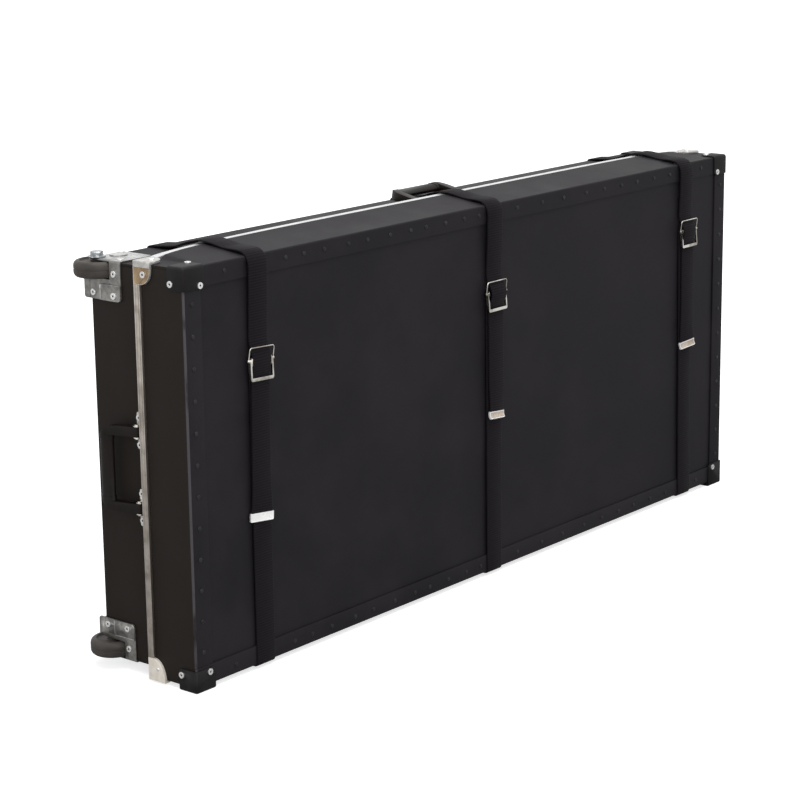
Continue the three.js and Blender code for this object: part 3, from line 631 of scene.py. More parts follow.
def bow(piece, shape, share=lambda y: 1):
    """Cuts a piece open for edit at places along it, and lifts its corners there."""
    for station in BOW_STATIONS:
        for side in (-1, 1):
            slice_at(piece, 0, side * station * shape["end"])
    cage = bmesh.from_edit_mesh(piece.data)
    for vert in cage.verts:
        place = on_case(vert.co)
        vert.co.z += bow_rise(shape, place.x) * share(place.y) * MM
    bmesh.update_edit_mesh(piece.data)


def spaced(start, end, pitch):
    count = max(1, round((end - start) / pitch))
    return [start + (end - start) * step / count for step in range(count + 1)]


def long_board(name, half, side):
    edge = half["top"] if side > 0 else half["bottom"]
    behind = half["face"] - half["out"] * FLANGE
    length = (-half["half"], half["half"])
    board = block(name, length, (half["face"], half["rim"]), (edge, edge - side * WALL))
    with editing(board):
        slice_at(board, 1, behind)
        inward = (0, 0, -side)
        band = half["face"] - half["out"] * FLANGE / 2
        pick(board, "faces", lambda middle, face: looks(face, inward) and near(middle.y, band))
        push(0, 0, -side * (LONG_BAND - WALL))
        bpy.ops.mesh.select_mode(type="EDGE")
        fold = lambda middle, _: near(middle.y, half["face"]) and near(middle.z, edge)
        pick(board, "edges", fold)
        bevel(FOLD, 5)
        if half is lid and side > 0:
            bow(board, BOARD_BOW, share_of_board)
    return board


def end_board(name, half, side):
    edge = side * half["half"]
    out = half["out"]
    seam = half["face"] - out * (FLANGE + GAP)
    height = (half["bottom"] + LONG_BAND + GAP, half["top"] - LONG_BAND - GAP)
    board = block(name, (edge, edge - side * WALL), (half["face"], half["rim"]), height)
    with editing(board):
        slice_at(board, 1, half["face"] - out * FLANGE)
        slice_at(board, 1, seam)
        band = half["face"] - out * FLANGE / 2
        inward = (-side, 0, 0)
        pick(board, "faces", lambda middle, face: looks(face, inward) and near(middle.y, band))
        push(-side * (END_BAND - WALL), 0, 0)
        for way in (1, -1):
            wanted = lambda middle, face: looks(face, (0, 0, way)) and (seam - middle.y) * out > 0
            pick(board, "faces", wanted)
            push(0, 0, way * (LONG_BAND - WALL))
    fold = lambda middle, _: near(middle.y, half["face"]) and near(middle.x, edge)
    round_edges(board, fold, FOLD, 5)
    return board


# %% [markdown]
# The rivets of the lid's top band aren't quite evenly spaced: someone set them by eye between the
# straps. Their places are those of the photograph, and the other bands are spaced the same way.

# %% Boards with their rivets
STRAPS = {"left": -585.5, "middle": 0, "right": 598.5}
TOP_RIVETS = [
    -650.8, -516.5, -475, -427.8, -370.2, -324.2, -268.9, -216.7, -177.1, -126.4, -76.9, -36.4,
    70.2, 142.3, 206.1, 273.8, 330.8, 385.1, 435.3, 490.8, 544, 651.7,
]
RIVET_DROP, END_RIVET_INSET = 14.7, 17
LONG_PITCH, END_PITCH, STRAP_ROOM = 54, 47, 28
CORNER_REACH, CASTOR_REACH = 54, 80
CASTOR_ROOM, CASTOR_DROP = 49.3, 31.3


def clear_of_straps(x):
    return all(abs(x - strap) > STRAP_ROOM for strap in STRAPS.values())


def long_rivets(half, side):
    edge = half["top"] if side > 0 else half["bottom"]
    places = TOP_RIVETS
    if half is base:
        places = spaced(CASTOR_REACH - base["half"], base["half"] - CORNER_REACH, LONG_PITCH)
    height = edge - side * RIVET_DROP
    out = (0, half["out"], 0)
    return [(black_rivet, (x, half["face"], height), out) for x in places if clear_of_straps(x)]


def end_rivets(half, side):
    reach = CORNER_REACH if half is lid or side > 0 else CASTOR_REACH
    places = spaced(half["bottom"] + reach, half["top"] - reach, END_PITCH)
    x = side * (half["half"] - END_RIVET_INSET)
    return [(black_rivet, (x, half["face"], z), (0, half["out"], 0)) for z in places]


def without_castor_room(board):
    for edge, side in ((base["top"], 1), (base["bottom"], -1)):
        left, back = -base["half"], base["face"]
        room = block(
            "room",
            (left - 1, left + CASTOR_ROOM),
            (back - CASTOR_ROOM, back + 1),
            (edge + side, edge - side * CASTOR_DROP),
        )
        combine(board, room, "DIFFERENCE")
    return board


for half, body in ((lid, "lid"), (base, "base")):
    for place, side in (("top", 1), ("bottom", -1), ("right", 1), ("left", -1)):
        long = place in ("top", "bottom")
        node = f"{body}_{place}_wall"
        board = (long_board if long else end_board)(f"{body}_{place}_board", half, side)
        if half is base and place != "right":
            without_castor_room(board)
        soften(painted(board, fibre[body]), 0.6)
        rivets = (long_rivets if long else end_rivets)(half, side)
        riveted(board, f"{body}_{place}_board", rivets)
        hand_over(board, body, "fibre_board", node)
print("boards:", 8)

# %% [markdown]
# The rails are drawn aluminium strips that edge the lid where it meets the base. Two shallow
# grooves run along the outer face of each; they are cut as narrow strips of the face pushed in.

# %% Rails
RAIL_HALF, RAIL_PROUD, RAIL_INNER, TOP_RAIL_INNER = 6, 4.5, 9.7, 5.7
RAIL_END = 31.8
GROOVES, GROOVE_DEPTH = (3.4, 2.6), 0.5


def rail(name, axis, side):
    if axis == 2:
        edge = lid["top"] if side > 0 else lid["bottom"]
        length = (RAIL_END - lid["half"], lid["half"] - RAIL_END)
        inner = TOP_RAIL_INNER if side > 0 else RAIL_INNER
        height = (edge + side * RAIL_PROUD, edge - side * inner)
        piece = block(name, length, (-RAIL_HALF, RAIL_HALF), height)
    else:
        edge = side * lid["half"]
        length = (lid["bottom"] + RAIL_END, lid["top"] - RAIL_END)
        width = (edge + side * RAIL_PROUD, edge - side * RAIL_INNER)
        piece = block(name, width, (-RAIL_HALF, RAIL_HALF), length)
    outward = [0, 0, 0]
    outward[axis] = side
    with editing(piece):
        for y in GROOVES:
            slice_at(piece, 1, y)
            slice_at(piece, 1, -y)
        middle_of_groove = sum(GROOVES) / 2
        pick(piece, "faces", lambda middle, face: looks(face, outward) and near(
            abs(middle.y), middle_of_groove))
        push(*(-GROOVE_DEPTH * value for value in outward))
        if axis == 2 and side > 0:
            bow(piece, RAIL_BOW)
    # The end rails take the darker copy of the aluminium, painted shade.
    return soften(painted(piece, aluminium if axis == 2 else dull_aluminium), 0.25)


for name, axis, side in (("top", 2, 1), ("bottom", 2, -1), ("left", 0, -1), ("right", 0, 1)):
    hand_over(rail(f"{name}_rail", axis, side), "lid", "aluminium_rail", f"lid_{name}_rail")
print("rails:", 4)

# %% [markdown]
# Where two rails meet, a pressed corner closes the joint: a round-cornered wing on each face of the
# lid and a short cap over the ends of both rails. Below a plain strip, the wing on the end has a
# panel pressed into it, which is an inset of its outer face pushed in, with a browner plating. The
# two lower corners are plain, and their wings are drawn out to an oval.

# %% Rim corners
WING_REACH, WING_WIDE, WING_ROUND, WING_THICK = 36, 34.5, 22.5, 4.2
CORNER_X, CORNER_Z = -742, 652.5
STRIP_HIGH, RIM_RIVET, RIM_FOLD = 9, 20, 2.5
PANEL_EDGE, PANEL_DEPTH = 0.8, 0.5
LONG_ROUND = 1.5


def wing(name, x, z, axis, far, plain):
    """A plate whose far corner is rounded; on a plain one the rounding is drawn out to an oval."""
    front = RAIL_HALF - WING_WIDE
    made = block(name, x, (front, RAIL_HALF), z)
    corner = lambda middle, _: near(middle.y, front) and near(middle[axis], far)
    round_edges(made, corner, WING_ROUND, 12)
    if plain:
        with editing(made, "VERT"):
            pick(made, "verts", lambda place, _: abs(place[axis] - far) < WING_ROUND + 0.1)
            centre, stretch = [0, 0, 0], [1, 1, 1]
            centre[axis], stretch[axis] = far, LONG_ROUND
            bpy.ops.transform.resize(value=stretch, center_override=at(*centre))
    return made


def rim_corner(plain):
    low, right = CORNER_Z - WING_REACH, CORNER_X + WING_REACH
    thick_x, thick_z = (CORNER_X, CORNER_X + WING_THICK), (CORNER_Z - WING_THICK, CORNER_Z)
    end_wing = wing("end_wing", thick_x, (low, CORNER_Z), 2, low, plain)
    long_wing = wing("long_wing", (CORNER_X, right), thick_z, 0, right, plain)
    inner_x = -lid["half"] + RAIL_INNER
    inner_z = lid["top"] - (RAIL_INNER if plain else TOP_RAIL_INNER)
    rail = (-RAIL_HALF, RAIL_HALF)
    across_cap = block("cap", (CORNER_X, right), rail, (inner_z, CORNER_Z))
    down_cap = block("cap", (CORNER_X, inner_x), rail, (low, CORNER_Z))
    whole = combine(combine(combine(across_cap, down_cap), end_wing), long_wing)
    fold = lambda middle, _: near(middle.x, CORNER_X) and near(middle.z, CORNER_Z)
    round_edges(whole, fold, RIM_FOLD, 4)
    painted(whole, rim_cream if plain else rim_pale).data.materials.append(rim_tan.material)
    if not plain:
        with editing(whole):
            strip = CORNER_Z - STRIP_HIGH
            slice_at(whole, 2, strip)
            pick(whole, "faces", lambda middle, face: looks(face, (-1, 0, 0)) and (
                near(middle.x, CORNER_X) and middle.z < strip))
            bpy.ops.mesh.inset(thickness=PANEL_EDGE * MM)
            push(PANEL_DEPTH, 0, 0)
            second_finish()
    soften(whole, 0.4)
    head, sunk = (pale_rivet, 0) if plain else (bright_rivet, PANEL_DEPTH)
    inset = RIM_RIVET
    rivets = [
        (head, (CORNER_X + sunk, RAIL_HALF - inset, CORNER_Z - inset), (-1, 0, 0)),
        (head, (CORNER_X + inset, RAIL_HALF - inset, CORNER_Z), (0, 0, 1)),
    ]
    return riveted(whole, "rim_corner", rivets)


def four_ways(template, body, slot, names):
    """Sets a top left piece at each named corner, flipped where it has to be."""
    for name, node in names.items():
        steps = [template]
        if "right" in name:
            steps.append(copied(steps[-1], "flipped", flip=((0, 0, 0), (1, 0, 0))))
        if "bottom" in name:
            steps.append(copied(steps[-1], "flipped", flip=((0, 0, MIDDLE[body]), (0, 0, 1))))
        hand_over(copied(steps[-1], name), body, slot, node)
        discard(*steps[1:])
    discard(template)


for level_name in ("top", "bottom"):
    template = rim_corner(level_name == "bottom")
    corners = [f"{level_name}_{side_name}_rim_corner" for side_name in ("left", "right")]
    four_ways(template, "lid", "nickel_plate", {corner: f"lid_{corner}" for corner in corners})
print("rim corners:", 4)

# %% [markdown]
# The corner protectors are moulded shells of three round-cornered faces. A cube at the corner loses
# its three inner faces, the far corner of each face left is rounded by a vertex bevel, the folds by
# an edge bevel, and Solidify gives the wall its thickness. The lower ones stand on a thick sole.

# %% Corner protectors
PROUD, ROUND, SKIN = 2.5, 6, 2.2
SHELL_FOLD, SOLE_FOLD = 5.5, 3.5
SOLE_STAND, SOLE_INSET, SOLE_ROUND = 8, 1.5, 2.8
TOP_CORNER = {"reach": (42, 30, 33.5), "front": (32.4, 28.3), "end": (23.2, 24), "long": (34, 22)}
BASE_CORNER = {"reach": (41, 41, 41), "front": (29, 29), "end": (29, 29)}
PROTECTORS = {
    "lid_top_left": TOP_CORNER,
    "lid_top_right": TOP_CORNER,
    "lid_bottom_left": {"reach": (39, 34, 27), "front": (27, 21.1), "end": (28.2, 17.2)},
    "lid_bottom_right": {"reach": (41, 41, 36), "front": (29, 29), "end": (29, 27)},
    "base_top_right": BASE_CORNER,
    "base_bottom_right": BASE_CORNER,
}


def corner_shell(name, x, y, z, inner, far, fold, skin):
    """An open corner: x, y and z go from the outer face inwards, and inner gives the three ways."""
    shell = block(name, x, y, z)
    with editing(shell):
        ways = [Vector((inner[0], 0, 0)), Vector((0, inner[1], 0)), Vector((0, 0, inner[2]))]
        pick(shell, "faces", lambda middle, face: any(looks(face, way) for way in ways))
        bpy.ops.mesh.delete(type="ONLY_FACE")
    with editing(shell, "EDGE"):
        pick(shell, "edges", lambda _, edge: not edge.link_faces)
        bpy.ops.mesh.delete(type="EDGE")
    with editing(shell, "VERT"):
        pick(shell, "verts", lambda _, vert: len(vert.link_faces) == 1)
        bevel(far, 6, "VERTICES")
    round_edges(shell, lambda _, edge: len(edge.link_faces) == 2, fold, 4)
    return modify(shell, "SOLIDIFY", thickness=skin * MM, offset=-1, use_even_offset=True)


def protector(half, size, stand):
    out = half["out"]
    left, face, top = -half["half"], half["face"], half["top"]
    reach_x, reach_y, reach_z = size["reach"]
    x = (left - PROUD, left + reach_x)
    y = (face + out * PROUD, face - out * reach_y)
    z = (top + stand, top - reach_z)
    fold = SOLE_FOLD if stand > PROUD else SHELL_FOLD
    shell = corner_shell("shell", x, y, z, (1, -out, -1), ROUND, fold, SKIN)
    if stand > PROUD:
        edge_x, edge_y, tread = x[0] + SOLE_INSET, y[0] - out * SOLE_INSET, top + stand - 1
        sole = block("sole", (edge_x, x[1]), (edge_y, y[1]), (top + GAP, tread))
        inner = lambda middle, _: near(middle.x, x[1]) and near(middle.y, y[1])
        outer = lambda middle, _: near(middle.z, tread) and (
            near(middle.x, edge_x) or near(middle.y, edge_y))
        round_edges(sole, inner, ROUND, 6)
        round_edges(sole, outer, SOLE_ROUND, 4)
        combine(shell, sole)
    soften(painted(shell, corner_plastic), 0.5)
    rivets = [
        (bright_rivet, (left + size["front"][0], y[0], top - size["front"][1]), (0, out, 0)),
        (bright_rivet, (x[0], face - out * size["end"][0], top - size["end"][1]), (-1, 0, 0)),
    ]
    if "long" in size:
        along, back = size["long"]
        rivets.append((bright_rivet, (left + along, face - out * back, top + stand), (0, 0, 1)))
    return riveted(shell, "protector", rivets)


for corner, size in PROTECTORS.items():
    body = corner.split("_")[0]
    half = lid if body == "lid" else base
    stands = half is lid and "bottom" in corner
    template = protector(half, size, SOLE_STAND if stands else PROUD)
    names = {f"{corner}_protector_shell": f"{corner}_protector"}
    four_ways(template, body, "corner_moulding", names)
print("corner protectors:", len(PROTECTORS))

# %% [markdown]
# Straps are bands of webbing drawn along a path. The path is a list of corners, each with the
# radius the webbing bends to; it is rounded, cut into short steps, and one edge is extruded step by
# step along it. Solidify makes the band as thick as the webbing.

# %% Paths


def rounded(corners, steps=6):
    """Rounds the corners (y, z, radius) of a path with short curves."""
    points = [Vector(corners[0][:2])]
    for before, corner, after in zip(corners, corners[1:], corners[2:]):
        here = Vector(corner[:2])
        back, on = Vector(before[:2]) - here, Vector(after[:2]) - here
        turn = back.angle(-on)
        wanted = corner[2] * abs(sin(turn / 2) / max(cos(turn / 2), 0.01))
        reach = min(wanted, back.length * 0.48, on.length * 0.48)
        start, end = here + back.normalized() * reach, here + on.normalized() * reach
        for step in range(steps + 1):
            t = step / steps
            points.append(start * (1 - t) ** 2 + here * 2 * t * (1 - t) + end * t ** 2)
    return points + [Vector(corners[-1][:2])]


def stepped(points, long_step, short_step=None, is_short=lambda point: False):
    """Adds points along a path, so that its steps are about as long as asked."""
    made = [points[0]]
    for start, end in zip(points, points[1:]):
        length = (end - start).length
        if length < 0.05:
            continue
        step = short_step if is_short(start) or is_short(end) else long_step
        count = max(1, round(length / step))
        made += [start.lerp(end, index / count) for index in range(1, count + 1)]
    return made


# %% The band along a path
STRAP_HALF, THICK = 20, 2.5


def band(name, x, path):
    """A band of webbing whose middle runs along a path of y and z."""
    bpy.ops.object.select_all(action="DESELECT")
    bpy.ops.mesh.primitive_plane_add(size=2 * STRAP_HALF * MM, location=at(x, *path[0]))
    piece = settled(bpy.context.object, name)
    with editing(piece, "VERT"):
        cage = bmesh.from_edit_mesh(piece.data)
        for vert in cage.verts:
            place = on_case(vert.co)
            vert.co = at(place.x, *path[0])
        bpy.ops.mesh.select_all(action="SELECT")
        bpy.ops.mesh.remove_doubles(threshold=0.1 * MM)
        for before, after in zip(path, path[1:]):
            move = Vector((0, after.x - before.x, after.y - before.y)) * MM
            bpy.ops.mesh.extrude_edges_move(TRANSFORM_OT_translate={"value": move})
    modify(piece, "SOLIDIFY", thickness=THICK * MM, offset=0, use_even_offset=True)
    soften(piece, 0.7, 2, 50)
    weave(piece, x, path)
    return painted(piece, webbing)


def weave(piece, x, path):
    """Lays a map on a band: its width, and how far along the path each corner lies, in metres."""
    runs = [0]
    for before, after in zip(path, path[1:]):
        runs.append(runs[-1] + (after - before).length)

    def run_of(place):
        best = min(range(len(path)), key=lambda index: (path[index] - place).length_squared)
        here, run = path[best], runs[best]
        neighbour = path[best + 1] if best + 1 < len(path) else path[best - 1]
        way = (neighbour - here).normalized() * (1 if best + 1 < len(path) else -1)
        return run + (place - here).dot(way)

    layer = piece.data.uv_layers.new(name="weave")
    known = {}
    for corner in piece.data.loops:
        index = corner.vertex_index
        if index not in known:
            place = on_case(piece.data.vertices[index].co)
            known[index] = ((place.x - x) * MM, run_of(Vector((place.y, place.z))) * MM)
        layer.data[corner.index].uv = known[index]


# %% [markdown]
# Each strap bulges out of its buckle and goes up the front, over the top, down the back, underneath
# and up again to the back of the buckle. It stands a little off the lid's fold and arches over the
# rail, and the right one leans. The lid slides away from the base along the joint; the band is
# attached to neither.

# %% Strap loops
LAY = THICK / 2 + GAP
FRONT, TOP, LOW = lid["face"] - LAY, lid["top"] + LAY, lid["bottom"] - LAY
BACK, BACK_TOP, BACK_LOW = base["face"] + LAY, base["top"] + LAY, base["bottom"] - LAY
RAIL_TOP, RAIL_LOW = TOP + RAIL_PROUD, LOW - RAIL_PROUD
TAILS = {"left": lid["face"] - 5.6, "middle": lid["face"] - 6.4, "right": lid["face"] - 6.4}
BULGES = {"left": lid["face"] - 10.4, "middle": lid["face"] - 14.5, "right": lid["face"] - 14}
PINS = {"left": 489, "middle": 499, "right": 523}
TIPS = {"left": 251.3, "middle": 292.3, "right": 310.6}
ARCHES = {"left": 8, "middle": 9, "right": 8}
LEVER_DROP, WIRE_RISE = 31, 21


def loop_path(pin, arch, tail, bulge):
    rail_top = RAIL_TOP + arch
    corners = [
        (tail, pin - LEVER_DROP + 3, 0),
        (tail, pin - LEVER_DROP + 8, 8),
        (bulge + 2, pin - 11, 12),
        (bulge, pin - 1, 12),
        (bulge + 2, pin + 8, 12),
        (FRONT - 2.6, pin + 20, 16),
        (FRONT - 0.4, pin + 34, 20),
        (FRONT - 3.4, TOP - 55, 60),
        (FRONT - 5, TOP + 5, 45),
        (lid["face"] / 2, TOP + arch * 0.75, 60),
        (lid["face"] / 4, RAIL_TOP + arch * 0.75, 40),
        (-6, rail_top, 20),
        (6, rail_top, 20),
        (28, rail_top * 0.75 + BACK_TOP * 0.25, 60),
        (56, rail_top * 0.25 + BACK_TOP * 0.75, 60),
        (BACK, BACK_TOP, 6),
        (BACK, BACK_LOW, 6),
        (24, (RAIL_LOW + BACK_LOW) / 2, 40),
        (12, RAIL_LOW, 20),
        (-12, RAIL_LOW, 20),
        (FRONT, LOW, 6),
        (FRONT, pin + 5, 0),
    ]
    return stepped(rounded(corners), 14, 3, lambda point: -84 < point.x < 30)


def lean(piece, share, level):
    """Slides a piece along the case, more the further it is above or below a level."""
    for vert in piece.data.vertices:
        vert.co.x += (on_case(vert.co).z - level) * share * MM
    return piece


LEANS = {"left": 0, "middle": 0, "right": -0.02}
for name, x in STRAPS.items():
    path = loop_path(PINS[name], ARCHES[name], TAILS[name], BULGES[name])
    loop = lean(band(f"{name}_strap", x, path), LEANS[name], MIDDLE["lid"])
    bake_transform(loop)
    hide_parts(f"{name}_strap_upper", f"{name}_strap_lower", f"{name}_strap_rear")
print("strap loops:", len(STRAPS))

# %% [markdown]
# Below the buckle hangs the strap's tail, with a folded metal tip. None of the three hangs quite
# straight: each tip has its own turn, roll and curl, which the tail takes up over a short reach.
# When the lid is drawn off, the strap is let out and its tip creeps up, and the tail rides on the
# lid.

# %% Tails and tips
TIP_HALF, TIP_THICK, TIP_TALL = 21.5, 3.6, 13.5
TIP_EDGE, CURL_SHARES = 1.2, (0.35, 0.55, 0.75)
TWIST_REACH, TIP_FEED = 60, 140
TIP_POSES = {
    "left": {"turn": -11, "roll": 3, "curl": 4, "lean": 0.022, "panel": tip_white},
    "middle": {"turn": 4, "roll": 6, "curl": 33, "lean": -0.008, "panel": tip_beige},
    "right": {"turn": -5, "roll": -5, "curl": 27, "lean": -0.008, "panel": tip_beige},
}


def tip_plate(name, x, top, pose):
    tail = TAILS[name.split("_")[0]]
    y = (tail - TIP_THICK / 2, tail + TIP_THICK / 2)
    low = top - TIP_TALL
    piece = block(name, (x - TIP_HALF, x + TIP_HALF), y, (low, top))
    painted(piece, tip_white).data.materials.append(pose["panel"].material)
    corners = lambda middle, _: near(abs(middle.x - x), TIP_HALF) and near(middle.z, low)
    round_edges(piece, corners, 2, 4)
    with editing(piece):
        pick(piece, "faces", lambda middle, face: looks(face, (0, -1, 0)))
        bpy.ops.mesh.inset(thickness=TIP_EDGE * MM)
        push(0, 0.15, 0)
        second_finish()
        for share in CURL_SHARES:
            height = top - TIP_TALL * share
            slice_at(piece, 2, height)
            bpy.ops.mesh.select_mode(type="VERT")
            pick(piece, "verts", lambda place, _: place.z < height - 0.01)
            centre = at(x, tail, height)
            step = radians(pose["curl"] / len(CURL_SHARES))
            bpy.ops.transform.rotate(
                value=step, orient_axis="X", orient_type="GLOBAL", center_override=centre)
    soften(piece, 0.4)
    return twisted(piece, x, top, pose)


def twisted(piece, x, top, pose):
    """Turns and rolls what is at or below the tip's top, and what is above it less and less."""
    hinge = at(x, TAILS[piece.name.split("_")[0]], top)
    with editing(piece, "VERT"):
        cage = bmesh.from_edit_mesh(piece.data)
        for vert in cage.verts:
            above = max(0, on_case(vert.co).z - top) / TWIST_REACH
            share = max(0, 1 - above) ** 2
            turn = Matrix.Rotation(radians(pose["turn"]) * share, 3, "Z")
            roll = Matrix.Rotation(radians(pose["roll"]) * share, 3, "Y")
            vert.co = hinge + turn @ roll @ (vert.co - hinge)
        bmesh.update_edit_mesh(piece.data)
    return piece


for name, x in STRAPS.items():
    top, high, pose = TIPS[name], PINS[name] - LEVER_DROP + 3, TIP_POSES[name]
    ends = [Vector((TAILS[name], height)) for height in (high, top - 3)]
    path = stepped(ends, 5)
    tail = lean(twisted(band(f"{name}_tail", x, path), x, top, pose), pose["lean"], high)
    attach(tail, "lid")
    keep = 1 - TIP_FEED / (high - top)
    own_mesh(tail)
    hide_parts(f"{name}_strap_tail")
    plate = lean(tip_plate(f"{name}_tip_plate", x, top, pose), pose["lean"], high)
    hand_over(plate, f"{name}_tip", "nickel_plate", f"{name}_strap_tip")
print("tails and tips:", len(TIP_POSES))

# %% [markdown]
# A buckle has a plate with two ears that carry the pin, a loop of wire above it, and a lever that
# hangs from the same pin and clamps the strap. The wire is a chain of points turned into a curve
# with a round bevel and then into a mesh; the lever's arms are hulls of an eye and a foot.

# %% Wire


def chain(name, points):
    """Points on the case, each joined to the next by an edge."""
    bpy.ops.object.select_all(action="DESELECT")
    bpy.ops.mesh.primitive_plane_add(size=1 * MM, location=at(*points[0]))
    piece = settled(bpy.context.object, name)
    with editing(piece, "VERT"):
        bpy.ops.mesh.select_all(action="SELECT")
        bpy.ops.mesh.merge(type="CENTER")
        for before, after in zip(points, points[1:]):
            move = (Vector(after) - Vector(before)) * MM
            bpy.ops.mesh.extrude_vertices_move(TRANSFORM_OT_translate={"value": move})
    return piece


def wire(name, points, radius):
    """A bent round wire through points on the case."""
    piece = chain(name, points)
    only(piece)
    bpy.ops.object.convert(target="CURVE")
    piece = bpy.context.object
    piece.data.bevel_depth = radius * MM
    piece.data.bevel_resolution = 3
    piece.data.use_fill_caps = True
    bpy.ops.object.convert(target="MESH")
    piece = bpy.context.object
    piece.name = piece.data.name = name
    only(piece)
    bpy.ops.object.shade_smooth_by_angle(angle=radians(50))
    return piece


def hulled(name, *pieces):
    whole = joined(name, *pieces)
    with editing(whole):
        bpy.ops.mesh.select_all(action="SELECT")
        bpy.ops.mesh.convex_hull()
        bpy.ops.mesh.select_all(action="SELECT")
        bpy.ops.mesh.normals_make_consistent(inside=False)
    return whole


# %% Buckle parts
PIN_Y, WIRE_Y, LEVER_Y = lid["face"] - 7.6, lid["face"] - 10, lid["face"] - 11
PLATE_Y = lid["face"] - 3.1
EAR_IN, EAR_OUT = 20.4, 21.8
ARM_IN, ARM_OUT = 22.2, 25.1
WIRE_X, WIRE_RADIUS = 26.8, 1.1
LEVER_HALF, LEVER_BAR = 1.3, 5
PLATE_LOW, EAR_LOW, EAR_HIGH, EAR_PROUD = 19, 12, 5, 3
PIN_HALF, PIN_RADIUS = 29.2, 1.5
EYE_IN, EYE_OUT, EYE_RADIUS = 25.6, 28, 2.7


def buckle_frame(x, z):
    across_plate, plate_z = (x - EAR_OUT, x + EAR_OUT), (z - PLATE_LOW, z + EAR_HIGH)
    plate = block("plate", across_plate, (PLATE_Y - 1.5, PLATE_Y), plate_z)
    front = PIN_Y - EAR_PROUD
    for side in (-1, 1):
        reach = (x + side * EAR_IN, x + side * EAR_OUT)
        ear = block("ear", reach, (front, PLATE_Y), (z - EAR_LOW, z + EAR_HIGH))
        for height, width in ((z - EAR_LOW, 7), (z + EAR_HIGH, 3.5)):
            corner = lambda middle, _: near(middle.y, front) and near(middle.z, height)
            round_edges(ear, corner, width, 5)
        combine(plate, ear)
    soften(plate, 0.35)
    pin = rod("pin", (x - PIN_HALF, PIN_Y, z), (x + PIN_HALF, PIN_Y, z), PIN_RADIUS, 16)
    soften(pin, 0.4)
    top = z + WIRE_RISE - WIRE_RADIUS
    foot = z + 1
    corners = [(-WIRE_X, foot, 0), (-WIRE_X, top, 5), (WIRE_X, top, 5), (WIRE_X, foot, 0)]
    path = []
    for across_x, height in stepped(rounded(corners, 8), 4):
        share = min(1, (height - z) / (top - z))
        path.append((x + across_x, PIN_Y + (WIRE_Y - PIN_Y) * share, height))
    pieces = [plate, pin]
    for side in (-1, 1):
        ends = [(x + side * reach, PIN_Y, z) for reach in (EYE_IN, EYE_OUT)]
        pieces.append(soften(rod("eye", *ends, EYE_RADIUS, 20), 0.6, 3))
    return painted(joined("buckle_frame", *pieces, wire("loop", path, WIRE_RADIUS)), nickel)


def buckle_lever(x, z):
    low = z - LEVER_DROP
    lay = (LEVER_Y - LEVER_HALF, LEVER_Y + LEVER_HALF)
    whole = block("bar", (x - ARM_OUT, x + ARM_OUT), lay, (low, low + LEVER_BAR))
    for side in (-1, 1):
        reach = (x + side * ARM_IN, x + side * ARM_OUT)
        eye = rod("eye", (reach[0], PIN_Y, z), (reach[1], PIN_Y, z), 2.5, 28)
        foot = block("foot", reach, lay, (low, low + LEVER_BAR))
        combine(whole, hulled("arm", eye, foot))
    corners = lambda middle, _: near(abs(middle.x - x), ARM_OUT) and near(middle.z, low)
    round_edges(whole, corners, 4.8, 6)
    return painted(soften(whole, 0.8, 3), nickel)


# %% Buckles on their straps
first_frame = buckle_frame(0, PINS["middle"])
first_lever = buckle_lever(0, PINS["middle"])
SKEWS = {"left": radians(3), "middle": 0, "right": 0}
for name, x in STRAPS.items():
    move = (x, 0, PINS[name] - PINS["middle"])
    pin_middle = at(0, PIN_Y, PINS["middle"])
    skew = Matrix.Rotation(SKEWS[name], 4, "Y")
    turn = Matrix.Translation(pin_middle) @ skew @ Matrix.Translation(-pin_middle)
    buckle = copied(first_frame, f"{name}_buckle", move, turn)
    hand_over(buckle, "lid", "nickel_plate", f"{name}_buckle_frame")
    lever = copied(first_lever, f"{name}_buckle_arm", move, turn)
    hand_over(lever, f"{name}_lever", "nickel_plate", f"{name}_buckle_lever")
discard(first_frame, first_lever)
print("buckles:", len(SKEWS))

# %% [markdown]
# A handle is a moulded loop of two tapered arms and an oval grip. Each arm is hinged on a pin
# between the two ears of a steel bracket. Handle and brackets are modelled once in a frame of their
# own, with x along the hinge, y towards the grip and z out of the wall, and then copied onto the
# top and both ends of the base, where the handles droop a little.

# %% Handle
HINGE_RISE, HINGE_Y = 7.3, 19
HANDLE_HALF, ARM_WIDE, GRIP_REACH = 67, 15, 55
GRIP_WIDE, GRIP_HIGH, EYE = 26, 16, 5
GRIP_THIN, COLLAR_THIN, COLLAR_LONG = 2.4, 0.6, 7
PLAN_ROUND, PLAN_STRETCH = 26, 1.3


def local(x, y, z):
    return tuple(Vector((x, y, z)) - home / MM)


def to_local(place):
    return place + home / MM


def local_block(name, x, y, z):
    low, high = local(min(x), min(y), min(z)), local(max(x), max(y), max(z))
    return block(name, (low[0], high[0]), (low[1], high[1]), (low[2], high[2]))


def local_rod(name, start, end, radius, sides=24):
    return rod(name, local(*start), local(*end), radius, sides)


def oval(name, x0, x1, wide, high):
    """An oval bar along x whose middle is where the grip is."""
    piece = local_rod(name, (x0, 0, 0), (x1, 0, 0), 1, 36)
    flattened = Matrix.Diagonal((1, wide / 2, high / 2, 1))
    piece.matrix_world = Matrix.Translation((0, GRIP_REACH * MM, 0)) @ flattened
    return settled(piece, name)


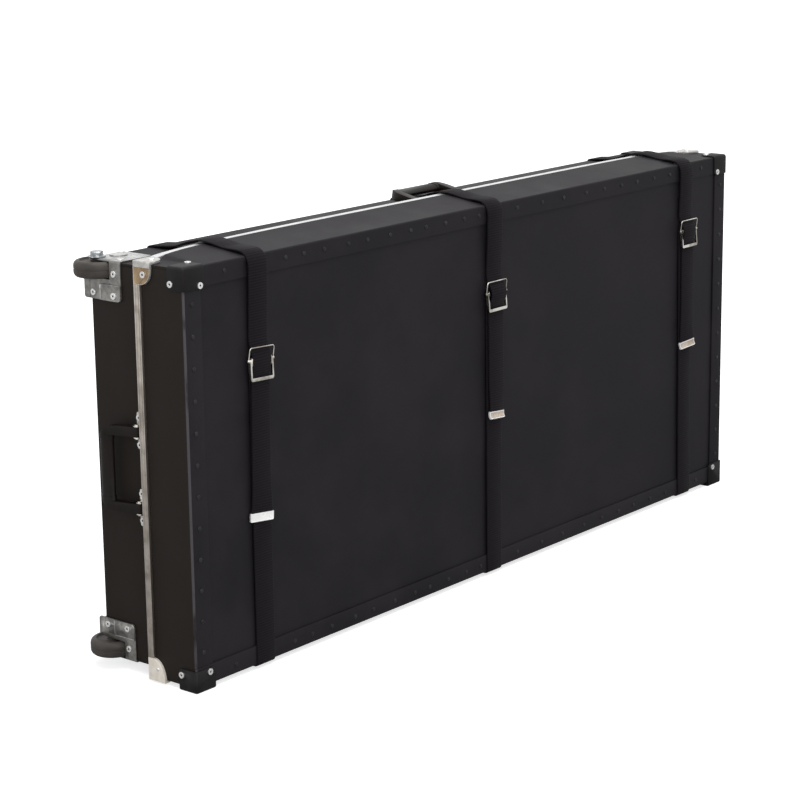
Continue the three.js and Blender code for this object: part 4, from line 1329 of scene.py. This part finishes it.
def handle():
    inner = HANDLE_HALF - ARM_WIDE
    whole = oval("grip", -inner - 1, inner + 1, GRIP_WIDE - GRIP_THIN, GRIP_HIGH - GRIP_THIN)
    for side in (-1, 1):
        ends = (side * (inner - COLLAR_LONG), side * (inner + 1))
        combine(whole, oval("collar", *ends, GRIP_WIDE - COLLAR_THIN, GRIP_HIGH - COLLAR_THIN))
        eye = local_rod("eye", (side * inner, 0, 0), (side * HANDLE_HALF, 0, 0), EYE, 28)
        end = oval("end", side * inner, side * HANDLE_HALF, GRIP_WIDE, GRIP_HIGH)
        combine(whole, hulled("arm", eye, end))
    far = GRIP_REACH + GRIP_WIDE / 2
    plan = local_block("plan", (-HANDLE_HALF, HANDLE_HALF), (-8, far), (-12, 12))
    corners = lambda middle, _: near(to_local(middle).y, far) and near(
        abs(to_local(middle).x), HANDLE_HALF)
    round_edges(plan, corners, PLAN_ROUND, 12)
    with editing(plan, "VERT"):
        pick(plan, "verts", lambda place, _: far - to_local(place).y < PLAN_ROUND + 0.1)
        bpy.ops.transform.resize(value=(1, PLAN_STRETCH, 1), center_override=(0, far * MM, 0))
    combine(whole, plan, "INTERSECT")
    return painted(soften(whole, 1.2, 3, 28), handle_plastic)


# %% Handle brackets
CLIP_ENDS, CLIP_HALF, CLIP_THICK, EAR_TOP, CLIP_RIVETS = (31, 89), 5.5, 1.5, 5, (38, 80)
PIN_OVER, HEAD_THICK = 3.9, 1.5


def handle_clip():
    """A hinge bracket under each arm of a handle, with its pin."""
    floor = GAP - HINGE_RISE
    inner, outer = HANDLE_HALF - ARM_WIDE, HANDLE_HALF
    pieces = []
    for side in (-1, 1):
        across_clip, ends = (-CLIP_HALF, CLIP_HALF), [side * end for end in CLIP_ENDS]
        foot = local_block("foot", ends, across_clip, (floor, floor + CLIP_THICK))
        corners = lambda middle, _: near(abs(to_local(middle).y), CLIP_HALF) and any(
            near(to_local(middle).x, end) for end in ends)
        round_edges(foot, corners, 3, 4)
        for reach in ((outer + 0.4, outer + 2.4), (inner - 2.4, inner - 0.4)):
            ends = [side * end for end in reach]
            ear = local_block("ear", ends, across_clip, (floor + 0.5, EAR_TOP))
            corners = lambda middle, _: near(to_local(middle).z, EAR_TOP) and near(
                abs(to_local(middle).y), CLIP_HALF)
            round_edges(ear, corners, 4, 5)
            combine(foot, ear)
        pieces.append(soften(foot, 0.35))
        first, last = inner - PIN_OVER, outer + PIN_OVER
        pin = local_rod("pin", (side * first, 0, 0), (side * last, 0, 0), 2.5, 20)
        pieces.append(soften(pin, 0.5))
        for end, inwards in ((first, first + HEAD_THICK), (last, last - HEAD_THICK)):
            head = local_rod("head", (side * end, 0, 0), (side * inwards, 0, 0), 3.7, 24)
            pieces.append(soften(head, 0.6, 3))
    whole = painted(joined("clip", *pieces), nickel)
    spots = [local(side * x, 0, floor + CLIP_THICK) for side in (-1, 1) for x in CLIP_RIVETS]
    return riveted(whole, "clip", [(bright_rivet, spot, (0, 0, 1)) for spot in spots])


# %% Handles on their walls


def on_wall(place, outward):
    """The frame of a hinge: x along it, y towards the back, z out of the wall."""
    outward = Vector(outward)
    back = Vector((0, 1, 0))
    along = back.cross(outward)
    turn = Matrix((along, back, outward)).transposed().to_4x4()
    return Matrix.Translation(at(*place) + outward * HINGE_RISE * MM) @ turn


first_handle, first_clip = handle(), handle_clip()
WALLS = {
    "left": ((-base["half"], HINGE_Y, MIDDLE["base"]), (-1, 0, 0), 12),
    "top": ((0, HINGE_Y, base["top"]), (0, 0, 1), 9),
    "right": ((base["half"], HINGE_Y, MIDDLE["base"]), (1, 0, 0), 12),
}
for name, (place, outward, tilt) in WALLS.items():
    spot = on_wall(place, outward)
    drooping = spot @ Matrix.Rotation(radians(tilt), 4, "X")
    grip = copied(first_handle, f"{name}_grip_loop", turn=drooping)
    hand_over(grip, f"{name}_grip", "handle_moulding", f"{name}_handle")
    clip = copied(first_clip, f"{name}_clip", turn=spot)
    hand_over(clip, "base", "nickel_plate", f"{name}_handle_clip")
discard(first_handle, first_clip)
print("handles:", len(WALLS))

# %% [markdown]
# The castor brackets are pressed steel corners, made as the protectors were, with a slot through
# two faces for the wheel, a raised pad on each leg and a box behind that keeps the wheel's pocket.
# Places on them are measured inwards from the end (u), the back (v) and the top (w) of the base.

# %% Castor brackets
CASTOR_LEG, CASTOR_HIGH = 66, 59
PLATE, PAD_RISE, PAD_START, PAD_TOP = 2, 1.8, 23, 34.5
POCKET, SHELF_TOP, SHELF_LOW = 47, 27.2, 29.2
FLANGE_WIDE, FLANGE_TOP = 12, 28
SLOT_REACH = 43
AXLE = 7.5
CASTOR_SKIN = PLATE + GAP
PAD_FACE = -CASTOR_SKIN - PAD_RISE
RING_SPOT = (38, 22)
# Rings on the top face: radius, rise, and whether the metal is added or taken away.
RINGS = ((14, 1.6, "UNION"), (11.6, -0.6, "DIFFERENCE"), (9, 1.4, "UNION"), (6, -0.6, "DIFFERENCE"))
PAD_GLINT_FACE = PAD_FACE + 0.2
# Thin bright rods along the pressed edges of each pad, a painted highlight for the light on those
# edges: the two ends and the radius.
PAD_GLINTS = (
    ((PAD_GLINT_FACE, 23.5, 36), (PAD_GLINT_FACE, 23.5, 57.5), 0.8),
    ((PAD_GLINT_FACE, 24, 34.9), (PAD_GLINT_FACE, 64.5, 34.9), 0.4),
)
# Rivets: the place, and the way the head looks.
CASTOR_RIVETS = (
    ((-CASTOR_SKIN, 52, 17.6), (-1, 0, 0)),
    ((PAD_FACE, 52, 50.6), (-1, 0, 0)),
    ((-CASTOR_SKIN, 7.5, 49), (-1, 0, 0)),
    ((52, -CASTOR_SKIN, 17.6), (0, 1, 0)),
    ((52, PAD_FACE, 50.6), (0, 1, 0)),
    ((9.5, -CASTOR_SKIN, 49), (0, 1, 0)),
    ((56, 9.5, -CASTOR_SKIN), (0, 0, 1)),
    ((9.5, 56, -CASTOR_SKIN), (0, 0, 1)),
)


def castor_spot(u, v, w):
    return (u - base["half"], base["face"] - v, base["top"] - w)


def castor_block(name, u, v, w):
    return block(name, *zip(castor_spot(u[0], v[0], w[0]), castor_spot(u[1], v[1], w[1])))


def castor_bracket():
    skin = CASTOR_SKIN
    left, back, top = -base["half"], base["face"], base["top"]
    shell = corner_shell(
        "bracket",
        (left - skin, left + CASTOR_LEG),
        (back + skin, back - CASTOR_LEG),
        (top + skin, top - CASTOR_HIGH),
        (1, -1, -1), 6, 4, PLATE,
    )
    wall = (POCKET, POCKET + PLATE)
    deep = (-GAP - 0.5, POCKET + PLATE)
    combine(shell, castor_block("shelf", deep, deep, (SHELF_TOP, SHELF_LOW)))
    combine(shell, castor_block("wall", wall, deep, (-GAP - 0.5, SHELF_LOW)))
    combine(shell, castor_block("wall", deep, wall, (-GAP - 0.5, SHELF_LOW)))
    low, reach_x, reach_y = top - CASTOR_HIGH, left + CASTOR_LEG, back - CASTOR_LEG
    along, raised_by = (PAD_START, CASTOR_LEG), (PAD_FACE, -skin + 1)
    for u, v in ((raised_by, along), (along, raised_by)):
        plate = castor_block("pad", u, v, (PAD_TOP, CASTOR_HIGH))
        corners = lambda middle, _: near(middle.z, low) and (
            near(middle.x, reach_x) or near(middle.y, reach_y))
        round_edges(plate, corners, 6, 4)
        combine(shell, plate)
    flange = castor_block("flange", (-skin, -GAP), (-FLANGE_WIDE, 0), (FLANGE_TOP, CASTOR_HIGH))
    corner = lambda middle, _: near(middle.y, back + FLANGE_WIDE) and near(middle.z, low)
    round_edges(flange, corner, 4, 4)
    combine(shell, flange)
    slot, through, high = (-skin - 2, SLOT_REACH), (-skin - 2, 1), (-GAP, SHELF_TOP)
    slots = castor_block("slot", through, slot, high)
    combine(slots, castor_block("slot", slot, through, high))
    combine(shell, slots, "DIFFERENCE")
    for radius, rise, way in RINGS:
        ends = castor_spot(*RING_SPOT, -skin - rise), castor_spot(*RING_SPOT, -1.2)
        combine(shell, rod("ring", *ends, radius, 40), way)
    bore = rod("bore", castor_spot(AXLE, AXLE, -5), castor_spot(AXLE, AXLE, 30), 4.3, 24)
    combine(shell, bore, "DIFFERENCE")
    painted(shell, zinc).data.materials.append(zinc_top.material)
    with editing(shell):
        slice_at(shell, 2, top - SHELF_TOP)
        slice_at(shell, 2, top - PAD_TOP + 0.2)
        slice_at(shell, 1, back - SLOT_REACH)
        slice_at(shell, 0, left + SLOT_REACH)
        # Faces that look up take the lighter zinc, painted light from above.
        pick(shell, "faces", lambda middle, face: looks(face, (0, 0, 1)) and middle.z > top + 1.5)
        second_finish()
    soften(shell, 0.45)
    # Bright rods along the pads' edges: painted highlight.
    glint_rods = []
    for start, end, radius in PAD_GLINTS:
        for swapped in (False, True):
            ends = [(v, u, w) if swapped else (u, v, w) for u, v, w in (start, end)]
            bead = rod("bead", castor_spot(*ends[0]), castor_spot(*ends[1]), radius, 10)
            glint_rods.append(painted(soften(bead, 0.3), zinc_top))
    shell = joined("bracket", shell, *glint_rods)
    rivets = [(bright_rivet, castor_spot(*spot), way) for spot, way in CASTOR_RIVETS]
    return riveted(shell, "bracket", rivets)


# %% [markdown]
# A bolt runs down the axle of each castor, with a washer and a spring washer under its head and a
# nut below the shelf. The top one has a hexagon head, whose corners are rounded off by keeping only
# what it shares with a bevelled cylinder. The bottom one is close to the floor, so its cap is low.

# %% Castor bolts
# Bolts: the head's reach and rise, the washer's radius and rise, and the spring washer's rise.
BOLTS = {
    "top": {"reach": 10, "rise": 8.9, "washer": (13.5, 2), "spring": 2.9},
    "bottom": {"reach": 9, "rise": 2.6, "washer": (10, 0.8), "spring": 1},
}


def castor_bolt(reach, rise, washer, spring):
    """A bolt down the axle: how far its head reaches, and how high its parts rise."""
    foot = CASTOR_SKIN + GAP

    def part(name, start, end, radius, sides):
        ends = castor_spot(AXLE, AXLE, start), castor_spot(AXLE, AXLE, end)
        return rod(name, *ends, radius, sides)

    shank = part("shank", -foot - 0.8, SHELF_LOW + 1.5, 4, 20)
    ring = soften(part("washer", -foot, -foot - washer[1], washer[0], 40), 0.3, 3)
    split_ring = soften(part("spring", -foot - 0.5, -foot - spring, 0.9 * reach, 30), 0.2)
    head = part("head", -foot - 0.9, -foot - rise, reach, 6)
    cone = part("cone", -foot - 0.9, -foot - rise, reach - 0.1, 48)
    modify(cone, "BEVEL", width=1.1 * MM, segments=3, limit_method="ANGLE", angle_limit=radians(60))
    combine(head, cone, "INTERSECT")
    soften(head, 0.25)
    nut = soften(part("nut", SHELF_LOW + GAP, SHELF_LOW + GAP + 1.7, 6.5, 6), 0.3)
    return painted(joined("bolt", shank, ring, split_ring, head, nut), bolt_zinc)


# %% [markdown]
# The wheel is turned: half its section is drawn as a chain of points from the bore over the hub,
# the web and the round tyre and back, and Spin sweeps it once round the axle.

# %% Castor wheels
WHEEL_PROFILE = [
    (4.3, 1.2), (9.0, 1.2), (9.6, 1.8), (9.6, 3.6), (11.0, 4.2), (24.5, 4.2), (26.0, 3.4),
    (26.6, 1.4), (27.6, 0.8), (29.6, 0.8), (32.0, 1.6), (34.2, 3.4), (35.5, 6.0), (36.0, 9.2),
    (36.0, 12.0), (35.4, 12.4), (35.4, 13.4),
]


def castor_wheel():
    middle = WHEEL_PROFILE[-1][1]
    profile = WHEEL_PROFILE + [(r, 2 * middle - w) for r, w in reversed(WHEEL_PROFILE)]
    spots = [castor_spot(AXLE + r, AXLE, w) for r, w in profile + profile[:1]]
    wheel = chain("wheel", spots)
    with editing(wheel, "VERT"):
        bpy.ops.mesh.select_all(action="SELECT")
        bpy.ops.mesh.remove_doubles(threshold=0.01 * MM)
        bpy.ops.mesh.select_all(action="SELECT")
        centre = at(*castor_spot(AXLE, AXLE, 0))
        bpy.ops.mesh.spin(steps=72, angle=2 * pi, center=centre, axis=(0, 0, 1))
        bpy.ops.mesh.select_all(action="SELECT")
        bpy.ops.mesh.remove_doubles(threshold=0.01 * MM)
        bpy.ops.mesh.normals_make_consistent(inside=False)
    bpy.ops.object.shade_smooth_by_angle(angle=radians(35))
    return painted(wheel, tyre_rubber)


# %% Castors at their corners
CASTOR_PARTS = (
    ("bracket", castor_bracket(), ("top", "bottom"), "zinc_steel"),
    ("bolt", castor_bolt(**BOLTS["top"]), ("top",), "zinc_steel"),
    ("bolt", castor_bolt(**BOLTS["bottom"]), ("bottom",), "zinc_steel"),
    ("wheel", castor_wheel(), ("top", "bottom"), "wheel_rubber"),
)
for part, template, names, slot in CASTOR_PARTS:
    for name in names:
        flip = ((0, 0, MIDDLE["base"]), (0, 0, 1)) if name == "bottom" else None
        piece = copied(template, f"{name}_{part}", flip=flip)
        body = f"{name}_wheel" if part == "wheel" else "base"
        hand_over(piece, body, slot, f"{name}_castor_{part}")
    discard(template)
discard(black_rivet, pale_rivet, bright_rivet)
print("castors:", 2)

# %% [markdown]
# Two rubber feet under the base keep it level with the lid's soles. They narrow towards the floor.

# %% Feet
FOOT_HALF, FOOT_WIDE, FOOT_FROM_END, FOOT_FROM_BACK = 23, 24, 210, 12


def rubber_foot(name, side):
    middle_x = side * (base["half"] - FOOT_FROM_END)
    back = base["face"] - FOOT_FROM_BACK
    x, height = (middle_x - FOOT_HALF, middle_x + FOOT_HALF), (0, base["bottom"] - GAP)
    foot = block(name, x, (back - FOOT_WIDE, back), height)
    with editing(foot):
        pick(foot, "faces", lambda middle, face: looks(face, (0, 0, -1)))
        centre = at(middle_x, back - FOOT_WIDE / 2, 0)
        bpy.ops.transform.resize(value=(0.9, 0.82, 1), center_override=centre)
        bpy.ops.mesh.inset(thickness=4 * MM)
        push(0, 0, 1.2)
    return painted(soften(foot, 1.4, 3), foot_rubber)


for name, side in (("left", -1), ("right", 1)):
    hand_over(rubber_foot(f"{name}_foot", side), "base", "foot_rubber", f"base_{name}_foot")
print("feet:", 2)

# %% [markdown]
# A plain pale floor and soft studio light. The floor and the sky look white to the camera and in
# reflections, through Light Path, while the light on the case stays at a plain level.

# %% Floor and light
FLOOR_SIZE, FADE_START, FADE_END = 160, 1.1, 2.6
PLAIN_SKY = (0.45, 0.45, 0.46, 1)

bpy.ops.object.select_all(action="DESELECT")
bpy.ops.mesh.primitive_plane_add(size=FLOOR_SIZE, location=(0, 0, 0))
floor = bpy.context.object
floor.name = "floor"
pale = Finish("pale_floor")
light_path = pale.node("ShaderNodeLightPath").socket.node


def grey(level):
    return (level, level, level, 1)


def seen(*outputs):
    """1 where a ray is one of the kinds that see the backdrop, else 0."""
    total = Signal(pale, light_path.outputs[outputs[0]])
    for name in outputs[1:]:
        total = pale.sum("MAXIMUM", total, Signal(pale, light_path.outputs[name]))
    return total


glossy = seen("Is Glossy Ray")
away = pale.node("ShaderNodeVectorMath", {"operation": "LENGTH"}, {0: pale.place()}, output=1)
far = away.between(FADE_START, FADE_END)
shown = pale.blend(far, grey(0.68), grey(1))
mirrored = pale.blend(far, grey(0.15), grey(0.45))
lit = pale.blend(seen("Is Camera Ray", "Is Transmission Ray"), grey(0), shown)
pale.surface(
    Base_Color=pale.blend(glossy, grey(0.8), grey(0.3)),
    Roughness=0.9,
    Specular_IOR_Level=0.0,
    Emission_Color=pale.blend(glossy, lit, mirrored),
    Emission_Strength=1.0,
)
floor.data.materials.append(pale.material)
floor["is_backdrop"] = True

world = bpy.data.worlds.new("studio")
bpy.context.scene.world = world
world.use_nodes = True
sky = world.node_tree
rays = sky.nodes.new("ShaderNodeLightPath")
background = sky.nodes["Background"]
white = sky.nodes.new("ShaderNodeMath")
white.operation = "MAXIMUM"
for index, output in enumerate(("Is Camera Ray", "Is Transmission Ray")):
    sky.links.new(rays.outputs[output], white.inputs[index])
before = None
for factor in (rays.outputs["Is Glossy Ray"], white.outputs[0]):
    tone = sky.nodes.new("ShaderNodeMix")
    tone.data_type = "RGBA"
    tone.inputs[6].default_value = PLAIN_SKY
    tone.inputs[7].default_value = grey(1)
    sky.links.new(factor, tone.inputs[0])
    if before:
        sky.links.new(before.outputs[2], tone.inputs[6])
    before = tone
sky.links.new(tone.outputs[2], background.inputs["Color"])

LAMPS = {
    "over_light": ((-0.5, -0.6, 3.6), (0, 0, 0.3), 3.2, 95),
    "front_light": ((-2.6, -4.2, 2.2), (0, 0, 0.3), 2.6, 60),
    "end_light": ((-4.5, 0.8, 1.6), (-0.6, 0, 0.3), 1.8, 16),
}
for name, (place, target, size, power) in LAMPS.items():
    bpy.ops.object.light_add(type="AREA", location=place)
    lamp = bpy.context.object
    lamp.name = name
    lamp.data.shape = "SQUARE"
    lamp.data.size = size
    lamp.data.energy = power
    lamp.rotation_euler = (Vector(target) - Vector(place)).to_track_quat("-Z", "Y").to_euler()
print("lamps:", len(LAMPS), "and finishes:", len(bpy.data.materials))

# %% Sizes, and the end
({
    "cad": [list(corner) for corner in cad_box],
    "visual": [list(corner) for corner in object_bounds()],
})
